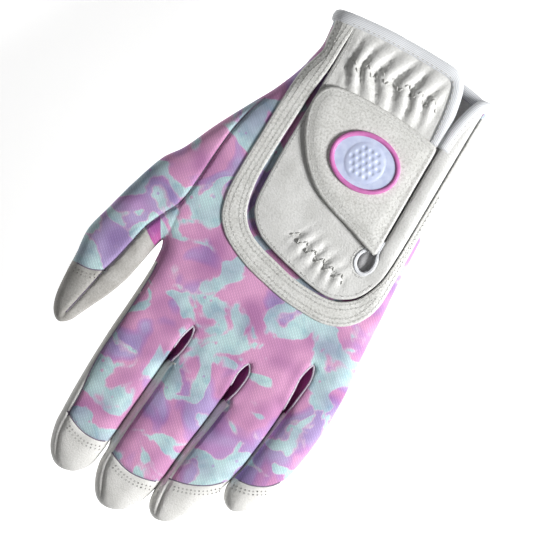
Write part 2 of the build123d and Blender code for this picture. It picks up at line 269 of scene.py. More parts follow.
seam("middle_cap", [(-4.6, 206.3), (-1, 208), (6, 209.3), (12, 208.8), (19.4, 206.2)], 0.6, 0.6)
seam("middle_strip", [(14.4, 160.6), (16.3, 163), (17.0, 175), (18.0, 185), (18.7, 195), (19.2, 205), (18.4, 214),
                      (15.2, 222), (12, 229)], 1.0, 0.65)
seam("middle_strip_start", [(17.8, 160.2), (14.4, 160.6)], 0.3)
seam("ring_cap", [(-29.9, 191.3), (-28.6, 192.4), (-22.5, 197.8), (-15, 201.6), (-6.6, 203.8)], 0.6, 0.6)
seam("ring_strip", [(-13.4, 164.4), (-12.2, 168), (-11.2, 175), (-9.6, 185), (-8.3, 195), (-7.6, 204), (-8.2, 213),
                    (-10, 223)], 1.0, 0.65)
seam("ring_strip_start", [(-10.6, 164.0), (-13.4, 164.4)], 0.3)
seam("pinky_cap", [(-51, 176.5), (-45.5, 184.6), (-38, 188.8), (-29.9, 189.9)], 0.6, 0.6)
seam("index_border", [(16.4, 143.2), (46.4, 141.5)], 0, 1)
seam("middle_border", [(-11.6, 145.3), (16.4, 143.2)], 0, 1)
seam("ring_border", [(-35.3, 132.3), (-11.6, 145.3)], 0, 1)
seam("pinky_border", [(-55.6, 135), (-35.3, 132.3)], 0, 1)
seam("slit_floor", [(-26.6, -9), (-26.6, 30), (-26.8, 80), (-29.5, 91), (-36, 95), (-45.5, 93)], 0, 1)
seam("wrist_wrap", [(-50, 66), (-46.4, 60), (-46.2, 30), (-45, -8)], 0, 1)
seam("channel_outer", [(21.4, -9), (22.2, 30), (23.6, 60), (24.0, 76), (22.2, 88), (17.6, 95.6), (8, 100.8),
                       (-8, 104.4), (-22, 106.0), (-33, 103.4), (-40, 96), (-43.2, 86), (-43.9, 60), (-44.3, 20),
                       (-44.3, -9)], 0, 1)


def back_height(points):
    """Height of the back's cloth in mm."""
    points = np.asarray(points, float)[:, :2]
    d = distance(points, side_edge)
    low = edge_height(points)
    z = low + (HEIGHT - low) * quarter(d, RIM * (1 - 0.6 * at_keyhole(points)))
    calm = np.clip(d / 4, 0, 1)
    for line, depth, width in SEAMS.values():
        if depth:
            z -= depth * calm * np.exp(-(distance(points, line) / width) ** 2)
    return z + calm * (0.45 * wave(points, 17) + 0.16 * wave(points, 6, 3.3))


def palm_height(points):
    """Height of the palm's leather in mm; it rests on the floor away from the outline."""
    points = np.asarray(points, float)[:, :2]
    return LOW_SEAM * (1 - quarter(distance(points, side_edge), 5.5))


print("seams:", len(SEAMS), "back height at the palm's middle:", back_height([(0.0, 70.0)])[0].round(2))

# %% [markdown]
# ## Cutting panels
# A tailor cuts panels from a flat pattern. Here the whole pattern is meshed once with the seam lines as fixed
# edges, and a flood fill between those lines finds the panels, which seed points then name.

# %% Meshing a pattern
ROW_STEP = 0.866          # rows of a staggered pattern are this much closer than its points


def inside(points, ring):
    """Which plan points lie inside a closed line."""
    x, y = np.asarray(points)[:, 0], np.asarray(points)[:, 1]
    hit = np.zeros(len(x), bool)
    for (x0, y0), (x1, y1) in zip(ring, np.roll(ring, -1, axis=0)):
        if y0 != y1:
            hit ^= ((y0 > y) != (y1 > y)) & (x < (x1 - x0) * (y - y0) / (y1 - y0) + x0)
    return hit


def rings_inside(ring, depths):
    """Rows of points that follow a closed line at each depth inside it."""
    normal = left_of(unit(np.roll(ring, -1, axis=0) - np.roll(ring, 1, axis=0)))
    rows = []
    for depth in depths:
        row = ring + normal * depth
        near = distance(row, ring, closed=True)
        rows.append(row[near > depth * 0.97])
    return np.concatenate(rows)


def lattice(ring, pitch, margin):
    """Staggered points inside a closed line, at least margin from it."""
    low, high = ring.min(0), ring.max(0)
    rows = np.arange(low[1], high[1], pitch * ROW_STEP)
    points = np.array([(x, y) for i, y in enumerate(rows)
                       for x in np.arange(low[0] + pitch / 2 * (i % 2), high[0], pitch)])
    points = points[inside(points, ring)]
    return points[distance(points, ring, closed=True) > margin]


BESIDE_SEAM = (-1.3, -0.6, 0.6, 1.3)      # rows of points that follow a seam on both sides, mm from it
CLEAR_OF_SEAM = 1.7                       # other points keep this far from a seam


def mesh_pattern(ring, lines=(), pitch=1.8, depths=(0.12, 0.5, 1.2, 2.2, 3.4)):
    """Triangles inside a closed line, with the given lines as edges. Returns points, triangles, fixed edges."""
    ring = np.asarray(ring, float)
    loose = [rings_inside(ring, depths), lattice(ring, pitch, max(depths) + pitch * 0.5)]
    beside = []
    for line in lines:
        normal = left_of(unit(np.gradient(line, axis=0)))
        loose = [group[distance(group, line) > CLEAR_OF_SEAM] for group in loose]
        beside += [line + normal * offset for offset in BESIDE_SEAM]
    if beside:
        beside = np.concatenate(beside)
        beside = beside[inside(beside, ring)]
        beside = beside[distance(beside, ring, closed=True) > 0.4]
        for line in lines:
            beside = beside[distance(beside, line) > 0.5]
        loose.append(beside)
    points = [ring, *lines, *loose]
    edges, start = [], len(ring)
    for line in lines:
        edges += [(start + i, start + i + 1) for i in range(len(line) - 1)]
        start += len(line)
    flat = [Vector(p) for group in points for p in group]
    verts, all_edges, faces, _, edge_of, _ = delaunay_2d_cdt(flat, edges, [list(range(len(ring)))], 1, 1e-4)
    fixed = {tuple(sorted(e)) for e, origin in zip(all_edges, edge_of) if origin}
    verts = np.array([(v.x, v.y) for v in verts])
    within = inside(verts[np.array(faces)].mean(1), ring)
    return verts, [tuple(f) for f, keep in zip(faces, within) if keep], fixed


def panels(points, faces, fixed, seeds):
    """Names each face: flood fill between fixed edges, then the seed point inside each patch names it."""
    sharing = {}
    for i, face in enumerate(faces):
        for a, b in zip(face, face[1:] + face[:1]):
            sharing.setdefault(tuple(sorted((a, b))), []).append(i)
    patch = [-1] * len(faces)
    count = 0
    for first in range(len(faces)):
        if patch[first] >= 0:
            continue
        stack = [first]
        patch[first] = count
        while stack:
            face = faces[stack.pop()]
            for a, b in zip(face, face[1:] + face[:1]):
                key = tuple(sorted((a, b)))
                if key not in fixed:
                    for other in sharing[key]:
                        if patch[other] < 0:
                            patch[other] = count
                            stack.append(other)
        count += 1
    centres = np.array([points[list(face)].mean(0) for face in faces])
    named = {}
    for name, spots in seeds.items():
        for spot in spots:
            nearest = np.argmin(((centres - spot) ** 2).sum(1))
            named.setdefault(patch[nearest], name)
    known = np.array([i for i in range(len(faces)) if patch[i] in named])
    for number in set(patch) - set(named):
        middle = centres[[i for i in range(len(faces)) if patch[i] == number]].mean(0)
        nearest = known[np.argmin(((centres[known] - middle) ** 2).sum(1))]
        named[number] = named[patch[nearest]]
    return [named[p] for p in patch]


# %% From triangles to objects
collection = bpy.context.scene.collection


def make(name, points, faces, uv=None, normals=None):
    """A smooth-shaded object from points in mm, with plan positions as its UV map, in tenths of a metre."""
    mesh = bpy.data.meshes.new(name)
    mesh.from_pydata(place(points).tolist(), [], [list(map(int, f)) for f in faces])
    mesh.shade_smooth()
    uv = np.asarray(points)[:, :2] if uv is None else np.asarray(uv)
    layer = mesh.uv_layers.new(name="pattern")
    corners = np.empty(len(mesh.loops), np.int32)
    mesh.loops.foreach_get("vertex_index", corners)
    layer.data.foreach_set("uv", (uv[corners] / 100).ravel().astype(np.float32))
    if normals is not None:
        mesh.normals_split_custom_set_from_vertices(normals.tolist())
    piece = bpy.data.objects.new(name, mesh)
    collection.objects.link(piece)
    return piece


def vertex_normals(points, faces):
    """Smooth normals of a triangle mesh, so that patches cut from it keep one shading across their seams."""
    points, faces = np.asarray(points), np.asarray(faces)
    a, b, c = (points[faces[:, k]] for k in range(3))
    flat = np.cross(b - a, c - a)
    made = np.zeros_like(points)
    for k in range(3):
        np.add.at(made, faces[:, k], flat)
    return unit(made)


def cut_out(points, faces, names, flip=False):
    """One object per panel name."""
    if flip:
        faces = [f[::-1] for f in faces]
    normals = vertex_normals(points, faces)
    made = {}
    for name in dict.fromkeys(names):
        own = [f for f, n in zip(faces, names) if n == name]
        used = sorted({v for f in own for v in f})
        index = {v: i for i, v in enumerate(used)}
        made[name] = make(name, points[used], [[index[v] for v in f] for f in own], normals=normals[used])
    return made


BACK_SEEDS = {
    "back_cloth": [(0, 120), (30, 120), (38, 30), (-52, 120)],
    "channel_cloth": [(0, 60)],
    "slit_mouth": [(-35, 50), (-40, 10)],
    "wrist_wrap": [(-47, 20)],
    "thumb_base_cloth": [(48, 75), (58, 88), (35, 33)],
    "thumb_back_cloth": [(66, 120)],
    "thumb_gusset_patch": [(51.5, 115.5)],
    "thumb_gusset_root": [(46.6, 113)],
    "thumb_side_leather": [(53, 135)],
    "thumb_tip_leather": [(68, 155)],
    "index_back_cloth": [(32, 170)],
    "index_tip_leather": [(33, 212)],
    "index_side_leather": [(45.3, 165), (44.6, 195)],
    "hand_side_leather": [(43.3, 134)],
    "middle_back_cloth": [(6, 175)],
    "middle_tip_leather": [(8, 217)],
    "middle_strip_leather": [(17.6, 172), (20.2, 200)],
    "ring_back_cloth": [(-20, 170)],
    "ring_tip_leather": [(-15, 209)],
    "ring_strip_leather": [(-10.6, 172), (-6.8, 200)],
    "pinky_back_cloth": [(-44, 160)],
    "pinky_tip_leather": [(-38, 195)],
}
CHANNEL = curve([(20.6, -6), (21.4, 20), (22.3, 50), (22.4, 72), (21.0, 86), (17.2, 93.6), (9, 98.8), (-6, 103.2),
                 (-20, 105.2), (-30, 104.2), (-37, 99.2), (-41.4, 91), (-43, 82)], 1.2)[0]


CHANNEL_DEPTH, CHANNEL_HALF = 1.5, 1.9


def cloth_height(points):
    """The back's cloth, drawn down in the narrow channel between the yoke band and the closure panel."""
    return back_height(points) - CHANNEL_DEPTH * np.exp(-(distance(points, CHANNEL) / CHANNEL_HALF) ** 2)


pattern, triangles, fixed = mesh_pattern(edge, [line for line, _, _ in SEAMS.values()])
names = panels(pattern, triangles, fixed, BACK_SEEDS)
surface = np.column_stack([pattern, cloth_height(pattern)])
sewn = [i for i, name in enumerate(names) if name != "slit_mouth"]          # the slit opens into the glove
back = cut_out(surface, [triangles[i] for i in sewn], [names[i] for i in sewn])
for name, piece in back.items():
    print("back panel", name, len(piece.data.polygons))

# %% [markdown]
# ## What each panel moves with
# The cloth over a knuckle belongs to hand and finger at once. Each finger's panels therefore start at a border
# between its two crotches. The table gives a bending zone past each border, but no bend is made here: panels
# that cross a knuckle are only baked in place, and just the tips, caps and ends are attached to their finger.

# %% Bodies and borders
BORDERS = {                # ends of each border, little-finger side first, and the length of the bending zone
    "index": ((16.4, 143.2), (46.4, 141.5), 18),
    "middle": ((-11.6, 145.3), (16.4, 143.2), 18),
    "ring": ((-35.3, 132.3), (-11.6, 145.3), 19),
    "pinky": ((-55.6, 135), (-35.3, 132.3), 16),
    "thumb": ((45.9, 119.4), (64.4, 88.2), 17),
}


def follow(piece, body, *nodes):
    """Attaches the piece to its body; a piece whose body has a border is only baked in place. Hides the CAD nodes
    it stands for.
    """
    if body in BORDERS:
        left, right, reach = BORDERS[body]
        left, right = np.array(left), np.array(right)
        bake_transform(piece)
    else:
        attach(piece, body.replace("_only", ""))
    if nodes:
        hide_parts(*nodes)
    return piece


# %% [markdown]
# ## The palm and the side walls
# Palm leather runs from the wrist to the fingertips in one piece. Between it and the back, narrow strips called
# fourchettes make the fingers' sides. They are swept along the outline's named stretches, slightly bulged.

# %% Palm panels
palm_lines = [SEAMS[f"{name}_border"][0] for name in BORDERS]
PALM_SEEDS = {
    "palm_leather": [(0, 70)], "index_front_leather": [(32, 180)], "middle_front_leather": [(6, 180)],
    "ring_front_leather": [(-20, 175)], "pinky_front_leather": [(-44, 165)], "thumb_front_leather": [(62, 130)],
}
palm_pattern, palm_faces, palm_fixed = mesh_pattern(edge, palm_lines, pitch=3.0, depths=(0.15, 0.6, 1.5, 2.8, 4.4))
palm_names = panels(palm_pattern, palm_faces, palm_fixed, PALM_SEEDS)
palm_surface = np.column_stack([palm_pattern, palm_height(palm_pattern)])
palm = cut_out(palm_surface, palm_faces, palm_names, flip=True)
print("palm panels:", {name: len(piece.data.polygons) for name, piece in palm.items()})

# %% Side walls
# each row's height, and how far it bulges
WALL = [(HIGH_SEAM, 0.0), (9.2, 0.22), (MID_SEAM, 0.38), (5.8, 0.22), (LOW_SEAM, 0.0)]
outward = -left_of(unit(np.roll(edge, -1, axis=0) - np.roll(edge, 1, axis=0)))
FACING = {"middle_thumbside": "index_inner", "ring_thumbside": "middle_littleside",
          "pinky_thumbside": "ring_littleside"}
extra = np.zeros(len(edge))          # how far each wall swells towards the next finger
for side, other in FACING.items():
    own = [i for i, name in enumerate(edge_name) if name == side]
    gap = distance(edge[own], edge[[i for i, name in enumerate(edge_name) if name == other]])
    extra[own] = np.clip(gap - 0.62, 0, None) * np.clip((3.9 - gap) / 0.9, 0, 1)
for _ in range(6):
    extra = (np.roll(extra, 1) + 2 * extra + np.roll(extra, -1)) / 4
SWELL = [0.0, 0.7, 1.0, 0.7, 0.0]    # how much of it each row of the wall takes


def side_wall(name, stretches):
    """The wall below some stretches of the outline that follow each other."""
    points, uv, normals = [], [], []
    count = len(edge)
    first = next(i for i in range(count) if edge_name[i] in stretches and edge_name[i - 1] not in stretches)
    run = [first]
    while edge_name[run[-1] % count] in stretches and len(run) <= count:
        run.append(run[-1] + 1)
    tops = edge_height([edge[i % count] for i in run])
    for k, i in enumerate(run):
        spot, out, swollen = edge[i % count], outward[i % count], extra[i % count]
        for (height, bulge), swell in zip([(tops[k], 0.0), *WALL[1:]], SWELL):
            points.append((*(spot + out * (bulge + swell * swollen)), height))
            normals.append((*out, (height - MID_SEAM) * (0.12 + 0.35 * swollen)))
            uv.append(spot + out * (HIGH_SEAM - height))
    faces = [face[::-1] for face in grid(len(run), len(WALL))]
    return make(name, points, faces, uv, unit(np.array(normals)))


WALLS = {                  # piece: the stretches it runs along
    "wrist_side_leather": ["wrist_side"],
    "thumb_base_side_cloth": ["thumb_base_side"],
    "thumb_outer_side_cloth": ["thumb_outer"],
    "thumb_end_side_leather": ["thumb_end"],
    "thumb_inner_side_leather": ["thumb_inner"],
    "thumb_crotch_gusset": ["thumb_crotch"],
    "hand_index_side_leather": ["hand_index_side"],
    "index_outer_side_leather": ["index_outer", "index_end"],
    "index_fourchette": ["index_inner"],
    "middle_strip_side_leather": ["middle_thumbside", "middle_end"],
    "middle_fourchette": ["middle_littleside"],
    "ring_strip_side_leather": ["ring_thumbside", "ring_end"],
    "ring_fourchette": ["ring_littleside"],
    "pinky_strip_side_leather": ["pinky_thumbside", "pinky_end"],
    "pinky_outer_side_leather": ["pinky_outer"],
    "little_side_leather": ["little_side"],
}
KEYHOLE_STRETCHES = [name for name, _ in OUTLINE if name.endswith("keyhole")]
WALLS.update({f"{stretch}_gusset": [stretch] for stretch in KEYHOLE_STRETCHES})
for name, stretches in WALLS.items():
    side_wall(name, stretches)
print("side walls:", len(WALLS))

# %% [markdown]
# ## The layers on the back
# The closure is leather sewn over the stretch cloth: a yoke band, a closure panel that elastic gathers at the
# wrist, and the tab. A cut leather edge is rounded by wear, so each layer's rim is a small quarter-round that
# starts inside the layer below.

# %% Layer helper and outlines of the layers
LEATHER = 0.85            # thickness of a leather layer, mm


def loop(points):
    """A closed curve through plan points."""
    return curve(points, 1.1, closed=True)[0]


def layer(name, ring, height, thick=LEATHER, rim=0.55, pitch=1.5, sink=0.15):
    """A layer whose top lies thick above a height rule, with a rounded rim that starts sunk below it."""
    points, faces, _ = mesh_pattern(ring, pitch=pitch, depths=(0.1, 0.3, 0.6, 1.3))
    rise = quarter(distance(points, ring, closed=True), rim)
    return make(name, np.column_stack([points, height(points) - sink + (thick + sink) * rise]), faces)


YOKE = loop([(29.3, -1.6), (28.5, 5), (28.1, 11), (27.3, 15.5), (28.9, 21), (30.9, 28), (31.8, 42), (32.3, 60),
             (32.7, 75), (32.3, 87), (30, 96), (25.6, 102), (20, 106), (10, 110.4), (0, 113), (-10, 115),
             (-20, 115.7), (-30, 115.4), (-38, 112.2), (-43, 107.2), (-46.4, 100), (-47.4, 90), (-47.0, 62),
             (-46.7, 32), (-46.5, 14), (-46.2, 8.6), (-45.4, 6.8), (-44.6, 8.6), (-44.3, 14), (-44.2, 32),
             (-43.8, 62), (-43.3, 80), (-42.2, 89), (-38.4, 98), (-33, 103), (-27, 105.3), (-20, 105.7),
             (-10, 105.0), (0, 102.6), (8, 100.5), (14.2, 97.8), (19, 93.5), (22, 87.5), (23.6, 79), (24, 70),
             (23.2, 50), (22.0, 31), (20.9, 21), (20.6, 10), (20.2, -3.0), (24, -2.7)])
CLOSURE = loop([(19.9, -3.1), (20.2, 10), (20.3, 21), (20.5, 40), (20.9, 60), (20.6, 75), (19.8, 85), (16.8, 91.2),
                (11, 96.3), (3, 99.4), (-8, 102.2), (-18, 104.2), (-26, 104.6), (-32.6, 102.2), (-38, 97.4),
                (-41.8, 88.6), (-42.9, 79), (-43.4, 62), (-43.7, 32), (-43.9, 14), (-44.1, 6.0), (-43.2, 4.6),
                (-41.9, 6.0), (-40.0, 9.2), (-37.6, 15), (-36.0, 27), (-35.7, 45), (-35.7, 60), (-35.6, 76.5),
                (-36.6, 81), (-36.7, 85.4), (-34.6, 89), (-31.6, 89.6), (-28.6, 87), (-28.0, 82.6), (-29.8, 79),
                (-33.6, 76), (-34.5, 60), (-34.6, 45), (-34.3, 28), (-33.3, 13), (-31.6, 4.2), (-29.6, -1.0),
                (-25, -3.6), (-10, -4.2), (6, -3.9)])
WRIST_ROW = [(-27, 13.5), (-10, 13.2), (4, 14.0), (17, 16.5)]
EYE_ROW = [(-29, 95.5), (-20, 94.2), (-10, 91.6), (0, 88.0)]


def over_back(points):
    """Where a layer that lies on the back's cloth starts."""
    return back_height(points) + 0.1


def ridges(points, line, spacing, reach, amplitude, lean=0.0):
    """Gathers: rounded ridges with sharp valleys across a stitched row, fading away from it."""
    line = curve(line, 1.0)[0]
    gap = np.linalg.norm(points[:, None] - line[None], axis=2)
    along = gap.argmin(1) * 1.0
    fade = np.exp(-(gap.min(1) / reach) ** 2)
    ends = np.clip(np.minimum(along, len(line) - 1 - along) / 4, 0, 1)
    phase = along / spacing + lean * gap.min(1) / spacing + 0.35 * wave(points, 11, 7.7)
    return amplitude * fade * ends * (np.abs(np.sin(pi * phase)) ** 0.75 - 0.2)


def zigzag(line, step, reach):
    """The corners of a zigzag along a line."""
    line = curve(line, 0.5)[0]
    run = run_length(line)
    at = np.arange(0, run[-1], step)
    spots = along_line(at, run, line)
    side = left_of(unit(np.gradient(spots, axis=0)))
    return spots + side * (reach * (-1.0) ** np.arange(len(at)))[:, None]


CREASE = 0.504            # how deep the thread pulls the leather in
FLAP_MIDDLE, FLAP_HALF, FLAP_RISE = -39.6, 3.9, 1.5     # the padded strip on the slit's far side
ZIGZAGS = [zigzag(WRIST_ROW, 3.1, 2.9), zigzag(EYE_ROW, 2.5, 2.2)]


def closure_height(points):
    """The closure panel follows the back, padded along the slit's far side and gathered at two rows."""
    points = np.asarray(points, float)[:, :2]
    z = over_back(points)
    z += ridges(points, WRIST_ROW, 7.2, 10.5, 3.4, 0.35) + ridges(points, EYE_ROW, 5.6, 6.0, 1.8, 0.2)
    z -= sum(CREASE * np.exp(-(distance(points, row) / 0.8) ** 2) for row in ZIGZAGS)
    x, y = points.T
    roll = np.clip(1 - ((x - FLAP_MIDDLE) / FLAP_HALF) ** 2, 0, 1) ** 0.5
    return z + FLAP_RISE * roll * np.clip((y - 6) / 22, 0, 1) * np.clip((92 - y) / 14, 0, 1)


# %% Yoke band and closure panel
yoke = layer("yoke_band_leather", YOKE, over_back)
closure = layer("closure_panel_leather", CLOSURE, closure_height, pitch=1.2)
print("layers:", [len(piece.data.polygons) for piece in (yoke, closure)])

# %% [markdown]
# ## The tab
# The tab is two skins with thin foam between them, sewn together at the rim by two rows, so its middle swells a
# little and its rim is pressed flat. Its free end rests on the closure panel.

# %% Tab
TAB = loop([(-34.8, 30.0), (-34.0, 28.4), (-30, 27.1), (-20, 25.7), (-8, 25), (5, 25.3), (13.5, 26.4), (18.2, 29.2),
            (20.2, 33.4), (20.4, 38), (19.1, 44.2), (16.2, 51), (12.3, 57), (8, 62), (3, 66.4), (-3, 70),
            (-10, 72.6), (-20, 75.6), (-27, 78), (-33.9, 80.1), (-34.8, 79.0), (-34.8, 70), (-34.8, 54),
            (-34.8, 40)])
TAB_ROWS = (2.0, 4.0)     # the two stitch rows lie this far inside the rim
TAB_REST, TAB_DROOP = 17.25, 0.75     # height of its underside, and how far the free rim hangs below that


def tab_bottom(points):
    """The tab's underside: level over hooks and loops, and down on the panel at its free end."""
    x = np.asarray(points)[:, 0]
    d = distance(points, TAB, closed=True)
    droop = np.clip((x + 30) / 12, 0, 1) * np.clip(1 - d / 5, 0, 1) ** 2
    return TAB_REST - TAB_DROOP * droop


def tab_top(points):
    """The tab's upper skin, dipping at the stitch rows."""
    d = distance(points, TAB, closed=True)
    z = tab_bottom(points) + 0.5 + 1.15 * quarter(d, 1.0) + 0.55 * quarter(d - 3.2, 7)
    for row in TAB_ROWS:
        z = z - 0.2 * np.exp(-((d - row) / 0.55) ** 2)
    return z + np.clip(d / 6, 0, 1) * (0.10 * wave(points, 9, 1.0))


def closed_slab(name, ring, top, bottom, pitch=1.3):
    """A solid between two height rules over a closed line, with a wall along its rim."""
    points, faces, _ = mesh_pattern(ring, pitch=pitch, depths=(0.1, 0.3, 0.65, 1.2, 1.7, 2.4, 3.4, 4.4))
    count = len(points)
    both = np.concatenate([np.column_stack([points, top(points)]), np.column_stack([points, bottom(points)])])
    rim = dict.fromkeys((a, b) for f in faces for a, b in zip(f, f[1:] + f[:1]))
    walls = [(a, a + count, b + count, b) for a, b in rim if (b, a) not in rim]
    return make(name, both, faces + [tuple(v + count for v in f[::-1]) for f in faces] + walls)


tab = closed_slab("tab_leather", TAB, tab_top, lambda p: tab_bottom(p) + 0.25)
closed_slab("tab_lining_cloth", loop(rings_inside(TAB, (0.5,))[::6]), lambda p: tab_bottom(p) + 0.3, tab_bottom,
            pitch=2.5)
print("tab:", len(tab.data.polygons), "top at", tab_top(np.array([(-11.5, 48.5)])).round(2))

# %% [markdown]
# ## Bindings
# A raw edge is finished with a strip folded over it. One strip goes round the whole wrist and up both sides of
# the slit's mouth, and a narrow one rings the eye where the slit ends. Both are a small section swept along the
# edge, with the section's upright direction taken from the cloth it holds.

# %% Sweeping a section along an edge
def sweep(name, path, section, upright=(0, 0, 1)):
    """Sweeps a closed section of (side, up) offsets along 3D points; side points left of the way along."""
    along = unit(np.gradient(path, axis=0))
    side = unit(np.cross(upright, along))
    up = np.cross(along, side)
    section = np.asarray(section, float)
    rows, count = len(path), len(section)
    points = path[:, None] + side[:, None] * section[None, :, :1] + up[:, None] * section[None, :, 1:]
    faces = [face[::-1] for face in grid(rows, count, wrap_columns=True)]
    faces += [tuple(range(count))[::-1], tuple((rows - 1) * count + k for k in range(count))]
    uv = np.array([(u, v) for u in run_length(path) for v in run_length(section)])
    return make(name, points.reshape(-1, 3), faces, uv)


# %% Cuff binding
def wrist_section():
    """The way round the wrist's opening, without the slit's mouth: x, height and outward direction of each step."""
    right, left = 29.6, -46.6
    corner = np.linspace(0, pi / 2, 9)
    return [
        *[(x, HEIGHT, 0, 1) for x in np.linspace(-26, 22, 44)],
        *[(right - 7.6 * (1 - sin(a)), HIGH_SEAM + 5 * cos(a), sin(a), cos(a)) for a in corner[1:]],
        (right, MID_SEAM, 1, 0),
        *[(right - 5.5 * (1 - cos(a)), LOW_SEAM * (1 - sin(a)), cos(a), -sin(a)) for a in corner],
        *[(x, 0, 0, -1) for x in np.linspace(22, -39, 50)],
        *[(left + 5.5 * (1 - sin(a)), LOW_SEAM * (1 - cos(a)), -sin(a), -cos(a)) for a in corner],
        (left, MID_SEAM, -1, 0),
        *[(left + 6.6 * (1 - cos(a)), HIGH_SEAM + 5 * sin(a), -cos(a), sin(a))
          for a in np.linspace(0, pi / 2 * 0.72, 7)],
    ]


def wrist_edge(x, on_back):
    """How far up the glove the wrist edge is at x: it bows out in the middle."""
    knots_x = [-47, -42, -30, -26, -10, 6, 20, 30]
    back_y = [1.4, 1.6, -2.6, -3.7, -4.2, -3.9, -2.7, -1.3]
    palm_y = [1.4, 0.6, -1.6, -2.2, -3.2, -3.2, -2.4, -1.3]
    return np.interp(x, knots_x, back_y if on_back else palm_y)


back_edge = [(-34.5, 27.5), (-34.2, 21), (-33.4, 13), (-32.4, 7.6), (-31.2, 2.4), (-29.3, -1.2), (-27, -3.0)]
flap_edge = [(-42.3, 1.5), (-41.0, 2.5), (-39.8, 5.0), (-38.7, 8.4), (-37.6, 12.4), (-36.7, 16.5), (-36.1, 22),
             (-35.9, 27.5)]
HOLD = 1.5                           # the tape's height is that of the leather this far inside its edge, mm


def mouth_side(knots, inward):
    """The cuff's way along one side of the slit's mouth, as steps of (place, upright direction)."""
    return [((x, y, closure_height([(x + inward, y)])[0] - 0.1), (0, 0, 1)) for x, y in curve(knots, 1.0)[0]]


steps = mouth_side(back_edge, HOLD)
for x, z, nx, nz in wrist_section():
    on_back = z > MID_SEAM
    y = wrist_edge(x, on_back)
    if on_back and nz == 1:
        z = closure_height([(x, y + HOLD)])[0] + 0.1
    steps.append(((x, y, z), (nx, 0, nz)))
steps += mouth_side(flap_edge, -HOLD)
cuff_path, cuff_up = (np.array(part, float) for part in zip(*steps))
for _ in range(9):                   # the tape is stiff, so it turns corners in soft bends
    for rows in (cuff_path, cuff_up):
        rows[1:-1] = (rows[:-2] + 2 * rows[1:-1] + rows[2:]) / 4
BINDING = [(4.0, 0.2), (4.0, 1.1), (3.3, 1.55), (1.4, 1.95), (-0.4, 1.65), (-1.3, 0.6), (-1.1, -0.6), (0.2, -1.25),
           (3.2, -1.1), (4.0, -0.7), (3.9, -0.2)]
sweep("cuff_binding_tape", cuff_path, BINDING, cuff_up)
print("cuff binding:", len(cuff_path), "steps")

# %% Slit binding with its eye
EYE = [(-35.3, 73), (-35.4, 78.2), (-36.5, 82.2), (-36.4, 86.0), (-34.4, 88.9), (-31.7, 89.2), (-29.0, 87.0),
       (-28.3, 83.2), (-30.0, 79.6), (-33.4, 77.0), (-34.2, 73)]
eye_path = curve(EYE, 0.7)[0]
sweep("slit_eye_binding", np.column_stack([eye_path, closure_height(eye_path) + 0.55]), oval(0.95, 0.75, 10))
# a scrap of lining behind the eye, which keeps the slit's end from tearing
closed_slab("eye_facing_cloth", loop(eye_path[::3]), lambda p: closure_height(p) - 1.7,
            lambda p: closure_height(p) - 2.1, pitch=1.0)
print("slit binding:", len(eye_path), "steps")

# %% [markdown]
# ## Gussets in the crotches
# Each crotch has a slot in the back where a piece of the stretch cloth shows, sunk between the fingers. It is a
# little saddle that hangs from the slot's sides, so it is drawn as a strip that sags towards its free end.

# %% Crotch gussets
def gusset(name, ends, width, start_height, end_height):
    """A sagging strip from the crotch outwards, along a line between two plan points."""
    start, end = (np.array(p, float) for p in ends)
    side = left_of(unit((end - start)[None]))[0]
    rows, columns = 16, 9
    points, uv = [], []
    for t in np.linspace(0, 1, rows):
        for u in np.linspace(-1, 1, columns):
            spot = start + (end - start) * t + side * u * width / 2
            points.append((*spot, start_height + (end_height - start_height) * t ** 0.7 + 1.6 * u * u))
            uv.append(spot + side * u * 2)
    return make(name, points, grid(rows, columns), uv)


GUSSETS = {                # piece: plan ends, width, and height at each end
    "index_middle_gusset_cloth": (((16.3, 141.4), (18.3, 165.0)), 4.6, 11.5, 4.2),
    "middle_ring_gusset_cloth": (((-11.7, 143.6), (-10.0, 168.5)), 5.0, 11.5, 4.6),
    "ring_pinky_gusset_cloth": (((-35.5, 130.6), (-34.0, 160)), 4.6, 12.0, 5.0),
}
for name, facts in GUSSETS.items():
    gusset(name, *facts)
print("gussets:", list(GUSSETS))

# %% Seam threads
# thin dark threads along the main seams; their dark colour is painted shade of the seam lines
SEAM_PARTS = {             # piece: (seam, first and last y)
    "thumb_base_seam_thread": ("thumb", 16, 108),
    "thumb_seam_thread": ("thumb", 108, 141.5),
    "thumb_tip_seam_thread": ("thumb", 142.5, 166),
    "hand_side_seam_thread": ("index_side", 126, 142),
    "index_side_seam_thread": ("index_side", 142, 203),
}
SEAM_PARTS.update({f"{finger}_cap_seam_thread": (f"{finger}_cap", 0, 300) for finger in BORDERS})
for name, (line, first_y, last_y) in SEAM_PARTS.items():
    run = SEAMS[line][0]
    on_piece = (run[:, 1] >= first_y) & (run[:, 1] <= last_y)
    run = run[inside(run, edge) & on_piece & (distance(run, side_edge) > 0.9)]
    run = max(runs_of(run, 2.5), key=len)
    sweep(name, np.column_stack([run, back_height(run) + 0.12]), oval(0.3, 0.22, 6))

# %% Overlocked rims of the open crotches
for stretch in KEYHOLE_STRETCHES:
    run = [i for i in range(len(edge)) if edge_name[i] == stretch]
    run = edge[run + [(run[-1] + 1) % len(edge)]]
    sweep(f"{stretch}_overlock_thread", np.column_stack([run, edge_height(run) + 0.15]), oval(0.5, 0.42, 8, -0.1))

# %% [markdown]
# ## Stitches and punched holes
# Stitches are what make it read as sewn. A thread dives at each needle hole, so every stitch is a short bead
# with sunk ends, and the holes between are small dark dimples. All beads of a row are one mesh.

# %% Threads and holes
def bead(length, radius):
    """A thread bead along X: rings of a rounded bar whose ends dip."""
    rings, sides, points = 5, 6, []
    for t in np.linspace(-1, 1, rings):
        size = radius * (1 - 0.75 * t ** 4)
        points += [(t * length / 2, size * cos(a), size * sin(a) - 1.1 * radius * t ** 4)
                   for a in np.arange(sides) * 2 * pi / sides]
    ends = [tuple(range(sides)), tuple(range(rings * sides - 1, (rings - 1) * sides - 1, -1))]
    return np.array(points), [face[::-1] for face in grid(rings, sides, wrap_columns=True)] + ends


